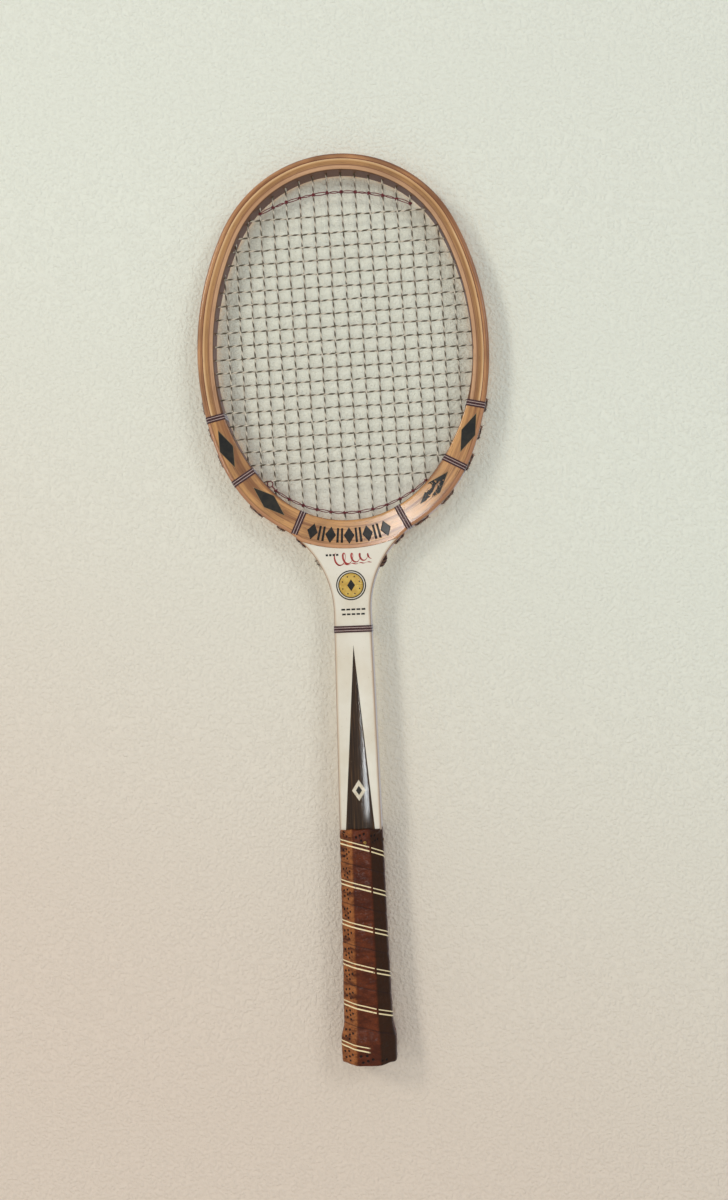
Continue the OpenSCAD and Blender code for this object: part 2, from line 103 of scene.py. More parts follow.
# Bounds of the searches along a cross and down a main, all outside the wood
CROSS_FAR = 0.13
RIM_FAR = 0.12
BELOW_RIM = 0.39
BELOW_HEAD = 0.38

# Rounding of the wood's edges: outside of the head, outside of the shaft, inside of the hoop
HEAD_EDGE = 2.2 * MM
SHAFT_EDGE = 1.2 * MM
INNER_EDGE = 1.2 * MM
SHAFT_CROWN = 0.45 * MM

# How far the overlay stands over the full depth, and the fibre and the wedge lie under it
OVERLAY_LIFT = 0.12 * MM
FIBRE_SINK = 0.1 * MM
WEDGE_SINK = 0.04 * MM

TOP_Z = LENGTH - TOP_R
SIDE_X = SIDE_R - HEAD_HALF
WIDE_Z = TOP_Z - math.sqrt((SIDE_R - TOP_R) ** 2 - SIDE_X**2)
LOW_Z = WIDE_Z - math.sqrt((SIDE_R - LOW_R) ** 2 - SIDE_X**2)
THROAT_X = SHAFT_TOP_HALF + THROAT_R
THROAT_Z = LOW_Z - math.sqrt((LOW_R + THROAT_R) ** 2 - THROAT_X**2)
TOP_TURN = math.atan2(TOP_Z - WIDE_Z, SIDE_X)
LOW_TURN = math.atan2(WIDE_Z - LOW_Z, SIDE_X)
THROAT_TURN = math.atan2(LOW_Z - THROAT_Z, THROAT_X)
OPEN_LOW_Z = OPEN_BOTTOM + OPEN_LOW_R
OPEN_HALF = HEAD_HALF - HOOP
OPEN_DROP = WIDE_Z - OPEN_LOW_Z
OPEN_SIDE_R = ((OPEN_HALF - OPEN_LOW_R) ** 2 + OPEN_DROP**2) / (2 * (OPEN_HALF - OPEN_LOW_R)) + OPEN_LOW_R
OPEN_SIDE_X = OPEN_SIDE_R - OPEN_HALF
OPEN_TURN = math.atan2(OPEN_DROP, OPEN_SIDE_X)

# ---------------------------------------------------------------- the outline


def inset(x, z):
    """Distance inwards from the outline of the head."""
    x = np.abs(x)
    top = TOP_R - np.hypot(x, z - TOP_Z)
    side = SIDE_R - np.hypot(x + SIDE_X, z - WIDE_Z)
    low = LOW_R - np.hypot(x, z - LOW_Z)
    lower = np.where(np.arctan2(z - WIDE_Z, x + SIDE_X) > -LOW_TURN, side, low)
    return np.where(np.arctan2(z - TOP_Z, x) > TOP_TURN, top, lower)


def shaft_half(z):
    """Half of the shaft's width at a height."""
    return SHAFT_TOP_HALF + (SHAFT_LOW_HALF - SHAFT_TOP_HALF) / (THROAT_Z - GRIP_TOP) * (THROAT_Z - z)


def throat_inset(x, z):
    """Distance inwards from the outline of the throat and the shaft."""
    x = np.abs(x)
    arc = np.hypot(x - THROAT_X, z - THROAT_Z) - THROAT_R
    leg = shaft_half(z) - x
    within = np.arctan2(z - LOW_Z, x) < -THROAT_TURN
    return np.where(within, np.where(z > THROAT_Z, arc, leg), -1.0)


def body_inset(x, z):
    return np.maximum(inset(x, z), throat_inset(x, z))


def overlay_inset(x, z):
    """Distance inwards from the edge of the crown overlay."""
    return np.maximum(inset(x, z), np.minimum(throat_inset(x, z), OVERLAY_R - np.hypot(x, z - LOW_Z)))


def smooth_step(t):
    t = np.clip(t, 0, 1)
    return t * t * (3 - 2 * t)


def edge_radius(z):
    return SHAFT_EDGE + (HEAD_EDGE - SHAFT_EDGE) * smooth_step((z - 380 * MM) / (50 * MM))


def drop(d, r):
    """How far a surface has fallen at distance d from an edge rounded to radius r."""
    return r - np.sqrt(np.maximum(r**2 - np.maximum(r - d, 0) ** 2, 0))


def crown_drop(x, z):
    """The shaft's faces are slightly convex; the head's are flat."""
    fade = 1 - smooth_step((z - 335 * MM) / (45 * MM))
    return SHAFT_CROWN * fade * np.minimum((x / SHAFT_TOP_HALF) ** 2, 1.5)


def face_depth(x, z):
    """Depth of the front face of the fibre, the inlay and the overlay."""
    return FULL - drop(body_inset(x, z), edge_radius(z)) - crown_drop(x, z)


def arc_points(x, z, r, start, end, step):
    """Points along an arc with their outward normals, without the first one."""
    count = max(2, math.ceil(abs(end - start) * r / step))
    angle = start + (end - start) * np.arange(1, count + 1) / count
    c, s = np.cos(angle), np.sin(angle)
    return np.stack([x + r * c, z + r * s, c, s], 1)


def mirrored(line):
    """The left half of a line, run back down from the axis."""
    return line[::-1] * np.array([-1, 1, -1, 1])


def rim_line(step):
    """The opening's edge as a closed loop from its lowest point, with normals into the wood."""
    turn = math.pi / 2
    half = np.concatenate(
        [
            [[0, OPEN_BOTTOM, 0, -1]],
            arc_points(0, OPEN_LOW_Z, OPEN_LOW_R, -turn, -OPEN_TURN, step),
            arc_points(-OPEN_SIDE_X, WIDE_Z, OPEN_SIDE_R, -OPEN_TURN, 0, step),
            arc_points(-SIDE_X, WIDE_Z, SIDE_R - HOOP, 0, TOP_TURN, step),
            arc_points(0, TOP_Z, TOP_R - HOOP, TOP_TURN, turn, step),
        ]
    )
    return np.concatenate([half, mirrored(half)[1:-1]])


def halve(inside, low, high):
    """The last value between low and high at which inside still holds."""
    for _ in range(40):
        mid = (low + high) / 2
        held = inside(mid)
        low, high = np.where(held, mid, low), np.where(held, high, mid)
    return low[()]


def reach(line, field, level, far):
    """How far along each point's normal the field falls to the level."""
    x, z, nx, nz = line.T
    return halve(lambda t: field(x + t * nx, z + t * nz) > level, np.zeros(len(line)), far)


def bow_stations(step):
    """Points of the bow's outer edge from the right foot over the head to the left foot."""
    legs = np.array([[0, CAP, 1, 0], [0, GRIP_TOP - 0.01 * MM, 1, 0], [0, GRIP_TOP, 1, 0]])
    legs[:, 0] = SHAFT_LOW_HALF
    shaft_z = np.linspace(GRIP_TOP, THROAT_Z, 24)[1:]
    shaft = np.array([[shaft_half(z), z, 1, 0] for z in shaft_z])
    turn = math.pi
    throat = arc_points(THROAT_X, THROAT_Z, THROAT_R, turn, turn - THROAT_TURN, step)
    throat[:, 2:] *= -1
    half = np.concatenate(
        [
            legs,
            shaft,
            throat,
            arc_points(0, LOW_Z, LOW_R, -THROAT_TURN, -LOW_TURN, step),
            arc_points(-SIDE_X, WIDE_Z, SIDE_R, -LOW_TURN, TOP_TURN, step),
            arc_points(0, TOP_Z, TOP_R, TOP_TURN, turn / 2, step),
        ]
    )
    return np.concatenate([half, mirrored(half)[1:]])


def low_exit(i):
    """Where a diverted main i leaves the side of the throat."""
    angle = EXIT_FIRST + EXIT_STEP * i
    return THROAT_X - THROAT_R * math.cos(angle), THROAT_Z + THROAT_R * math.sin(angle)


# ---------------------------------------------------------------- meshes


def finish_piece(obj, node_names, materials):
    for m in materials:
        obj.data.materials.append(m)
    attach(obj, BODY)
    if node_names:
        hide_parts(*node_names)
    return obj


def set_smooth(mesh, sharp=40):
    mesh.polygons.foreach_set("use_smooth", [True] * len(mesh.polygons))
    mesh.set_sharp_from_angle(angle=math.radians(sharp))


def mesh_object(name, verts, faces, sharp=40):
    mesh = bpy.data.meshes.new(name)
    mesh.from_pydata([tuple(v) for v in verts], [], [tuple(f) for f in faces])
    mesh.validate()
    set_smooth(mesh, sharp)
    obj = bpy.data.objects.new(name, mesh)
    bpy.context.scene.collection.objects.link(obj)
    return obj


def set_attribute(mesh, name, values, kind="FLOAT"):
    attribute = mesh.attributes.get(name) or mesh.attributes.new(name, kind, "POINT")
    key = "value" if kind == "FLOAT" else "vector"
    attribute.data.foreach_set(key, np.asarray(values, np.float32).ravel())


def coordinates(mesh):
    co = np.zeros(len(mesh.vertices) * 3)
    mesh.vertices.foreach_get("co", co)
    return co.reshape(-1, 3)


def mark_inset(obj):
    """Stores how far each point lies in from the outline, which the wood's grain follows."""
    x, _, z = coordinates(obj.data).T
    set_attribute(obj.data, "inset", body_inset(x, z))


def apply_modifiers(obj):
    bpy.context.view_layer.update()
    graph = bpy.context.evaluated_depsgraph_get()
    mesh = bpy.data.meshes.new_from_object(obj.evaluated_get(graph))
    old = obj.data
    obj.modifiers.clear()
    obj.data = mesh
    bpy.data.meshes.remove(old)
    mesh.name = obj.name


def grid_faces(rows, cols, close_rows, close_cols):
    r = np.arange(rows if close_rows else rows - 1)
    c = np.arange(cols if close_cols else cols - 1)
    r, c = np.meshgrid(r, c, indexing="ij")
    r2, c2 = (r + 1) % rows, (c + 1) % cols
    faces = np.stack([r * cols + c, r * cols + c2, r2 * cols + c2, r2 * cols + c], -1)
    return faces.reshape(-1, 4)


def tube_faces(rows, cols, closed, base=0):
    """Faces round rows of closed sections, capped at both ends unless the rows close."""
    faces = (grid_faces(rows, cols, closed, True) + base).tolist()
    if not closed:
        faces.append([base + k for k in range(cols)][::-1])
        faces.append([base + (rows - 1) * cols + k for k in range(cols)])
    return faces


def swept(name, points, close_rows=False):
    """Solid swept through rows of closed sections, capped where it is open."""
    return mesh_object(name, points.reshape(-1, 3), tube_faces(*points.shape[:2], close_rows))


def joined(patches, side):
    """Points and faces of open grids, each an array of x, depth and z, on one face."""
    verts, faces, base = [], [], 0
    for patch in patches:
        rows, cols = patch.shape[:2]
        verts.append(patch.reshape(-1, 3) * np.array([1, side, 1]))
        faces += (grid_faces(rows, cols, False, False) + base).tolist()
        base += rows * cols
    return np.concatenate(verts), faces


def edit_mesh(obj, action):
    bm = bmesh.new()
    bm.from_mesh(obj.data)
    action(bm)
    bm.to_mesh(obj.data)
    bm.free()


def recalculate(obj):
    """Points every face outwards."""
    edit_mesh(obj, lambda bm: bmesh.ops.recalc_face_normals(bm, faces=bm.faces))


def weld(obj, distance=0.01 * MM):
    edit_mesh(obj, lambda bm: bmesh.ops.remove_doubles(bm, verts=bm.verts, dist=distance))
    recalculate(obj)


def drop_loose(obj):
    """Deletes the points that no face uses."""

    def action(bm):
        loose = [v for v in bm.verts if not v.link_faces]
        bmesh.ops.delete(bm, geom=loose, context="VERTS")

    edit_mesh(obj, action)


def facing(obj, side):
    """Turns a sheet's faces towards -Y for the front, or +Y for the back."""

    def action(bm):
        wrong = [f for f in bm.faces if f.normal.y * side < 0]
        bmesh.ops.reverse_faces(bm, faces=wrong)

    edit_mesh(obj, action)


def thicken(obj, thickness):
    """Gives a sheet its thickness, on the inner side of its faces."""
    solid = obj.modifiers.new("solid", "SOLIDIFY")
    solid.thickness = thickness
    solid.offset = -1
    apply_modifiers(obj)


def sheet(name, patches, thickness, side):
    """A thin plate from patches of its outer face: side is -1 for the front and 1 for the back."""
    obj = mesh_object(name, *joined(patches, side))
    weld(obj)
    outward = sum(p.normal.y * p.area for p in obj.data.polygons)
    if outward * side < 0:
        obj.data.flip_normals()
    thicken(obj, thickness)
    set_smooth(obj.data, 50)
    return obj


class Tubes:
    """Gathers many tubes into one mesh. Each point keeps its place round and along its tube."""

    def __init__(self):
        self.verts, self.faces, self.marks, self.slots = [], [], [], []
        self.count = 0

    def add(self, path, radius, sides=10, closed=False, slot=0, start=0.0):
        path = np.asarray(path, float)
        n = len(path)
        ahead = np.roll(path, -1, 0) - np.roll(path, 1, 0)
        if not closed:
            ahead[0] = path[1] - path[0]
            ahead[-1] = path[-1] - path[-2]
        ahead /= np.linalg.norm(ahead, axis=1)[:, None]
        steps = np.linalg.norm(np.diff(path, axis=0), axis=1)
        along = start + np.concatenate([[0], np.cumsum(steps)])
        side = np.cross(ahead[0], [0.3, 0.2, 0.93])
        if np.linalg.norm(side) < 0.1:
            side = np.cross(ahead[0], [1, 0, 0])
        sides_at = []
        for k in range(n):
            side = side - ahead[k] * np.dot(side, ahead[k])
            side = side / np.linalg.norm(side)
            sides_at.append(side)
        across = np.array(sides_at)
        other = np.cross(ahead, across)
        angle = TAU * np.arange(sides) / sides
        radius = np.broadcast_to(radius, n)
        ring = across[:, None] * np.cos(angle)[None, :, None]
        ring = ring + other[:, None] * np.sin(angle)[None, :, None]
        self.verts.append((path[:, None] + ring * radius[:, None, None]).reshape(-1, 3))
        mark = np.zeros((n, sides, 3))
        mark[..., 0], mark[..., 1], mark[..., 2] = np.cos(angle), np.sin(angle), along[:, None]
        self.marks.append(mark.reshape(-1, 3))
        faces = tube_faces(n, sides, closed, self.count)
        self.faces += faces
        self.slots += [slot] * len(faces)
        self.count += n * sides

    def make(self, name, node_names, materials):
        obj = mesh_object(name, np.concatenate(self.verts), self.faces, 60)
        recalculate(obj)
        set_attribute(obj.data, "turn", np.concatenate(self.marks), "FLOAT_VECTOR")
        obj.data.polygons.foreach_set("material_index", self.slots)
        return finish_piece(obj, node_names, materials)


def curve_through(points, per_span=6):
    """A smooth line through the points."""
    p = np.asarray(points, float)
    p = np.concatenate([[2 * p[0] - p[1]], p, [2 * p[-1] - p[-2]]])
    t = np.arange(per_span)[:, None] / per_span
    out = []
    for a, b, c, d in zip(p, p[1:], p[2:], p[3:]):
        second, third = 2 * a - 5 * b + 4 * c - d, 3 * b - a - 3 * c + d
        out.append(0.5 * (2 * b + (c - a) * t + second * t**2 + third * t**3))
    return np.concatenate(out + [p[-2:-1]])


def ripple(seed, points, wave, amount):
    """Smooth unevenness over an array of points, from a few seeded waves."""
    rng = np.random.default_rng(seed)
    total = np.zeros(points.shape[:-1])
    for _ in range(7):
        heading = rng.normal(size=points.shape[-1])
        heading *= TAU / (wave * rng.uniform(0.6, 1.7)) / np.linalg.norm(heading)
        total += np.sin(points @ heading + rng.uniform(0, TAU))
    return amount * total / 3


# ---------------------------------------------------------------- materials


class Paint:
    """One node-based material. Inputs given as numbers stay on the node's own sockets."""

    def __init__(self, name, roughness=0.5, coat=0.0, coat_roughness=0.1, metallic=0.0, sheen=0.0):
        self.material = bpy.data.materials.new(name)
        self.material.use_nodes = True
        self.tree = self.material.node_tree
        self.shader = self.tree.nodes["Principled BSDF"]
        self.shader.inputs["Roughness"].default_value = roughness
        self.shader.inputs["Coat Weight"].default_value = coat
        self.shader.inputs["Coat Roughness"].default_value = coat_roughness
        self.shader.inputs["Metallic"].default_value = metallic
        self.shader.inputs["Sheen Weight"].default_value = sheen
        if coat:
            self.shader.inputs["Specular IOR Level"].default_value = 0.2

    def set(self, socket, value):
        if isinstance(value, bpy.types.NodeSocket):
            self.tree.links.new(value, socket)
        elif value is not None:
            socket.default_value = value

    def node(self, kind, inputs=(), **settings):
        made = self.tree.nodes.new(kind)
        for key, value in settings.items():
            setattr(made, key, value)
        for key, value in dict(inputs).items():
            self.set(made.inputs[key], value)
        return made

    def math(self, operation, a, b=None, c=None):
        made = self.node("ShaderNodeMath", operation=operation)
        for socket, value in zip(made.inputs, (a, b, c)):
            self.set(socket, value)
        return made.outputs[0]

    def times(self, a, b):
        return self.math("MULTIPLY", a, b)

    def plus(self, a, b):
        return self.math("ADD", a, b)

    def wave(self, strands, angle, pitch, along):
        """A wave that winds round a tube, with so many crests and so long a pitch."""
        return self.math("SINE", self.plus(self.times(angle, strands), self.times(along, TAU / pitch)))

    def attribute(self, name, output="Fac"):
        return self.node("ShaderNodeAttribute", attribute_name=name).outputs[output]

    def place(self):
        """The point's own coordinates: x, y and z."""
        point = self.node("ShaderNodeTexCoord").outputs["Object"]
        split = self.node("ShaderNodeSeparateXYZ", {"Vector": point})
        return point, split.outputs[0], split.outputs[1], split.outputs[2]

    def vector(self, x, y, z):
        return self.node("ShaderNodeCombineXYZ", {"X": x, "Y": y, "Z": z}).outputs[0]

    def noise(self, vector, scale, detail=2.0, w=None, rough=0.5):
        made = self.node("ShaderNodeTexNoise", noise_dimensions="3D" if w is None else "4D")
        self.set(made.inputs["Vector"], vector)
        made.inputs["Scale"].default_value = scale
        made.inputs["Detail"].default_value = detail
        made.inputs["Roughness"].default_value = rough
        if w is not None:
            self.set(made.inputs["W"], w)
        return made.outputs["Fac"]

    def ramp(self, value, low, high):
        """0 below low and 1 above high, smoothly."""
        made = self.node("ShaderNodeMapRange", interpolation_type="SMOOTHSTEP")
        self.set(made.inputs["Value"], value)
        made.inputs["From Min"].default_value = low
        made.inputs["From Max"].default_value = high
        return made.outputs["Result"]

    def mix(self, amount, a, b):
        made = self.node("ShaderNodeMix", data_type="RGBA")
        self.set(made.inputs["Factor"], amount)
        sockets = [s for s in made.inputs if s.type == "RGBA"]
        for socket, value in zip(sockets, (a, b)):
            self.set(socket, value if isinstance(value, bpy.types.NodeSocket) else tint(value))
        return next(s for s in made.outputs if s.type == "RGBA")

    def over(self, base, mask, amount, colour):
        """Lays a colour over the base by an amount, where the mask shows it."""
        return self.mix(self.times(mask, amount), base, colour)

    def round_tube(self):
        """The angle round a tube and the distance along it."""
        mark = self.node("ShaderNodeSeparateXYZ", {"Vector": self.attribute("turn", "Vector")})
        return self.math("ARCTAN2", mark.outputs[1], mark.outputs[0]), mark.outputs[2]

    def colour(self, value):
        self.set(self.shader.inputs["Base Color"], value)

    def roughness(self, value, low, high):
        made = self.node("ShaderNodeMapRange")
        self.set(made.inputs["Value"], value)
        made.inputs["To Min"].default_value = low
        made.inputs["To Max"].default_value = high
        self.set(self.shader.inputs["Roughness"], made.outputs["Result"])

    def bump(self, height, distance, strength=1.0, coat=False):
        made = self.node("ShaderNodeBump", {"Height": height})
        made.inputs["Strength"].default_value = strength
        made.inputs["Distance"].default_value = distance
        self.set(self.shader.inputs["Normal"], made.outputs["Normal"])
        if coat:
            self.set(self.shader.inputs["Coat Normal"], made.outputs["Normal"])


def tint(rgb):
    """A colour given as it looks on a screen, 0 to 255, made linear."""
    out = []
    for v in rgb:
        v = v / 255
        out.append(v / 12.92 if v <= 0.04045 else ((v + 0.055) / 1.055) ** 2.4)
    return (*out, 1.0)


def grain_space(paint, along, across):
    """Coordinates stretched along the hoop: slow in the plane, fast inwards and in depth."""
    point, x, y, z = paint.place()
    inwards = paint.attribute("inset")
    vector = paint.vector(paint.times(x, along), paint.times(z, along), paint.times(inwards, across))
    return vector, paint.times(y, across), point


def straight_space(paint, along, across):
    """Coordinates stretched up the shaft."""
    point, x, y, z = paint.place()
    vector = paint.vector(paint.times(x, across), paint.times(z, along), paint.times(y, across))
    return vector, None, point


def wood(
    name, light, dark, streak=(0.42, 0.62), blotch=0.35, coat=0.6, space=grain_space, rim=None, rough=0.34
):
    """Varnished wood whose streaks, fibres and pores follow its length."""
    paint = Paint(name, coat=coat, coat_roughness=0.12)
    broad, depth, point = space(paint, 9, 330)
    wide = paint.noise(broad, 1, 4, depth, 0.6)
    fine, fine_depth, _ = space(paint, 55, 2600)
    fibre = paint.noise(fine, 1, 3, fine_depth, 0.65)
    short, short_depth, _ = space(paint, 160, 3400)
    pores = paint.ramp(paint.noise(short, 1, 1, short_depth), 0.63, 0.72)
    patch = paint.ramp(paint.noise(point, 26, 3), 0.42, 0.68)
    base = paint.mix(paint.ramp(wide, *streak), light, dark)
    mid = [0.5 * (a + b) * 0.9 for a, b in zip(light, dark)]
    base = paint.over(base, paint.ramp(fibre, 0.35, 0.75), 0.55, mid)
    base = paint.over(base, patch, blotch, [0.72 * v for v in dark])
    base = paint.over(base, pores, 0.6, [0.45 * v for v in dark])
    if rim:
        base = rim(paint, base)
    paint.colour(base)
    paint.roughness(fibre, rough - 0.07, rough + 0.1)
    height = paint.plus(paint.times(fibre, 0.6), paint.times(pores, -0.8))
    paint.bump(height, 0.06 * MM, 0.55)
    return paint.material


def fibre_face():
    paint = Paint("fibre", coat=0.18, coat_roughness=0.2)
    point, x, y, z = paint.place()
    cloud = paint.ramp(paint.noise(point, 35, 4, rough=0.6), 0.35, 0.7)
    fleck = paint.ramp(paint.noise(point, 900, 2), 0.68, 0.76)
    stain = paint.ramp(paint.noise(point, 12, 3), 0.52, 0.75)
    edge = paint.ramp(paint.attribute("inset"), 2.4 * MM, 0.7 * MM)
    base = paint.mix(cloud, (231, 222, 203), (222, 210, 187))
    base = paint.over(base, stain, 0.5, (206, 184, 148))
    base = paint.over(base, edge, 0.55, (188, 152, 112))
    base = paint.over(base, fleck, 0.35, (150, 122, 88))
    paint.colour(base)
    paint.roughness(cloud, 0.3, 0.42)
    fibres = paint.vector(paint.times(x, 6), paint.times(y, 6), z)
    paint.bump(paint.noise(fibres, 260, 3), 0.03 * MM, 0.4)
    return paint.material


def plain(name, colour, second, scale, rough, coat=0.0, bump=0.03, metallic=0.0):
    """Small parts: two close tones in a fine mottle, with a little relief."""
    paint = Paint(name, coat=coat, metallic=metallic)
    mottle = paint.noise(paint.place()[0], scale, 4, rough=0.6)
    paint.colour(paint.mix(paint.ramp(mottle, 0.35, 0.68), colour, second))
    paint.roughness(mottle, rough - 0.06, rough + 0.08)
    paint.bump(mottle, bump * MM, 0.5)
    return paint.material


def string_paint(name, light, dark, pitch=TWIST, cover=0.1, rough=0.36):
    """String with a dark spiral and the ridges of its twisted strands."""
    paint = Paint(name, coat=0.25, coat_roughness=0.2)
    angle, along = paint.round_tube()
    spiral = paint.wave(1, angle, pitch, along)
    ridge = paint.wave(5, angle, 0.9 * MM, along)
    point = paint.place()[0]
    worn = paint.noise(point, 420, 3)
    edge = paint.plus(spiral, paint.times(paint.plus(worn, -0.5), 1.6))
    base = paint.mix(paint.ramp(edge, cover - 0.25, cover + 0.25), light, dark)
    base = paint.over(base, paint.ramp(paint.noise(point, 60, 2), 0.45, 0.7), 0.4, (142, 124, 104))
    paint.colour(base)
    paint.roughness(worn, rough - 0.06, rough + 0.14)
    paint.bump(ridge, 0.04 * MM, 0.5)
    return paint.material


def thread_paint(name, colour, second, sheen=0.3):
    """Twisted thread: slanting ply marks along each turn."""
    paint = Paint(name, coat=0.35, coat_roughness=0.25, sheen=sheen)
    angle, along = paint.round_tube()
    ply = paint.wave(2, angle, 0.8 * MM, along)
    mottle = paint.noise(paint.place()[0], 500, 3)
    amount = paint.plus(paint.times(ply, 0.25), mottle)
    paint.colour(paint.mix(paint.ramp(amount, 0.25, 0.85), colour, second))
    paint.roughness(mottle, 0.42, 0.6)
    paint.bump(ply, 0.05 * MM, 0.6)
    return paint.material


# ---------------------------------------------------------------- the bow and the ring


def strip_points(stations, profile):
    """Rows of a bow strip's sections. The profile gives pairs of inset and depth at a height."""
    rows = []
    for x, z, nx, nz in stations:
        section = np.array(profile(z), float)
        if z < GRIP_TOP:
            section[:, 0] = np.maximum(section[:, 0], SHAFT_LOW_HALF - HANDLE_HALF)
            room = HANDLE_BEVEL - (SHAFT_LOW_HALF - section[:, 0])
            section[:, 1] = np.clip(section[:, 1], -room, room)
        d = section[:, 0]
        rows.append(np.stack([x - nx * d, section[:, 1], z - nz * d], 1))
    return np.array(rows)


def outer_profile(z):
    r = edge_radius(z)
    cut = GROOVE * smooth_step((z - GROOVE_START) / (6 * MM))
    half = HOLE_R + 0.15 * MM
    turn = np.linspace(0, math.pi / 2, 7)
    corner = [(r - r * math.cos(t), DEPTH - r + r * math.sin(t)) for t in turn]
    groove = [(cut, 0), (cut, 0.75 * half), (0.75 * cut, 0.95 * half), (0, half)]
    side = groove + [(0, 0.4 * DEPTH), (0, 0.62 * DEPTH)]
    upper = side + corner + [(0.85 * OUTER, DEPTH), (OUTER, DEPTH), (OUTER, 0.4 * DEPTH)]
    lower = [(d, -y) for d, y in upper[:0:-1]]
    return lower + upper


def plain_profile(near, far):
    steps = [-1, -0.5, 0, 0.5, 1]
    section = [(near, s * DEPTH) for s in steps] + [(far, -s * DEPTH) for s in steps]
    return lambda z: section


def ring_points():
    """Sections of the inner ring: rounded at the opening, square against the bow."""
    line = rim_line(1.6 * MM)
    width = reach(line, inset, BOW, 60 * MM)
    side = [(0, s * (DEPTH - INNER_EDGE)) for s in (0, 0.35, 0.7)]
    turn = np.linspace(0, math.pi / 2, 6)
    corner = [(INNER_EDGE * (1 - math.cos(t)), DEPTH - INNER_EDGE * (1 - math.sin(t))) for t in turn]
    upper = side + corner
    lower = [(e, -y) for e, y in upper[:0:-1]]
    rows = []
    for (x, z, nx, nz), w in zip(line, width):
        section = [(w, -0.5 * DEPTH), (w, -DEPTH)] + lower + upper
        section = np.array(section + [(w, DEPTH), (w, 0.5 * DEPTH), (w, 0)])
        rows.append(np.stack([x + nx * section[:, 0], section[:, 1], z + nz * section[:, 0]], 1))
    return np.array(rows)


def main_x(i, z, side):
    return side * MAINS[i] + MAIN_LEAN * (z - LEAN_Z)


def cross_z(j, x):
    return CROSSES[j] + CROSS_RISE * x


def cross_ends(j, d):
    """The two points where cross j passes the outline moved inwards by d."""
    ends = []
    for side in (-1, 1):
        x = side * halve(lambda t: inset(t, cross_z(j, side * t)) > d, 0.0, CROSS_FAR)
        ends.append((x, cross_z(j, x)))
    return ends


def main_top(i, side, d):
    """Where a main passes the outline at the top, moved inwards by d."""
    z = halve(lambda z: inset(main_x(i, z, side), z) > d, LEAN_Z, LENGTH + 5 * MM)
    return main_x(i, z, side), z


def rim_crossing(x_at, start, end):
    """Height at which a line x_at(z) leaves the opening between two heights."""
    return halve(lambda z: in_opening(x_at(z), z), start, end)


def in_opening(x, z):
    x = abs(x)
    if z > WIDE_Z:
        return inset(x, z) > HOOP
    if math.atan2(z - WIDE_Z, x + OPEN_SIDE_X) > -OPEN_TURN:
        return math.hypot(x + OPEN_SIDE_X, z - WIDE_Z) < OPEN_SIDE_R
    return math.hypot(x, z - OPEN_LOW_Z) < OPEN_LOW_R


def main_low(i, side):
    """The rim point and the outside point below main i: diverted ones bend at the rim."""
    bend_z = rim_crossing(lambda z: main_x(i, z, side), LEAN_Z, BELOW_RIM)
    bend = (main_x(i, bend_z, side), bend_z)
    if i < DIVERTED:
        x, z = low_exit(i)
        return bend, (side * x, z)
    z = halve(lambda z: inset(main_x(i, z, side), z) > 0, bend_z, BELOW_HEAD)
    return bend, (main_x(i, z, side), z)


def drill(objects):
    """Cuts the string holes right through the bow and the ring."""
    crosses, mains = Tubes(), Tubes()

    def hole(tubes, start, end):
        tubes.add([(start[0], 0, start[1]), (end[0], 0, end[1])], HOLE_R, 16)

    for j in range(len(CROSSES)):
        for (x, z), (x2, z2) in zip(cross_ends(j, -3 * MM), cross_ends(j, HOOP + 6 * MM)):
            hole(crosses, (x, z), (x2, z2))
    for i in range(len(MAINS)):
        for side in (-1, 1):
            hole(mains, main_top(i, side, -3 * MM), main_top(i, side, HOOP + 6 * MM))
            bend, out = main_low(i, side)
            run = np.subtract(out, bend)
            run = run / np.linalg.norm(run)
            hole(mains, bend - run * 1.5 * MM, out + run * 4 * MM)
    for tubes in (crosses, mains):
        cutter = mesh_object("cutter", np.concatenate(tubes.verts), tubes.faces)
        recalculate(cutter)
        for obj in objects:
            cut = obj.modifiers.new("holes", "BOOLEAN")
            cut.operation = "DIFFERENCE"
            cut.solver = "MANIFOLD"
            cut.object = cutter
            apply_modifiers(obj)
        bpy.data.objects.remove(cutter)


def ring_rim(paint, base):
    """A brown line beside the bow, and painted shade that darkens the ring's inner face inside the hoop."""
    inwards = paint.attribute("inset")
    line = paint.times(paint.ramp(inwards, 8.4 * MM, 8.8 * MM), paint.ramp(inwards, 9.7 * MM, 9.2 * MM))
    base = paint.over(base, line, 0.75, (122, 76, 42))
    # Painted shade: the inner face of the hoop is painted dark brown.
    return paint.over(base, paint.ramp(inwards, 11.9 * MM, 12.3 * MM), 0.85, (84, 50, 28))


def outer_rim(paint, base):
    """The outer ply's edges are paler and greyer along the shaft."""
    z = paint.place()[3]
    return paint.over(base, paint.ramp(z, 396 * MM, 372 * MM), 0.8, (186, 164, 142))


def pale_rim(paint, base):
    """The pale strip is brightest along its outer edge and browns towards the next one."""
    inwards = paint.attribute("inset")
    return paint.over(base, paint.ramp(inwards, 5.2 * MM, 5.9 * MM), 0.85, (184, 132, 78))


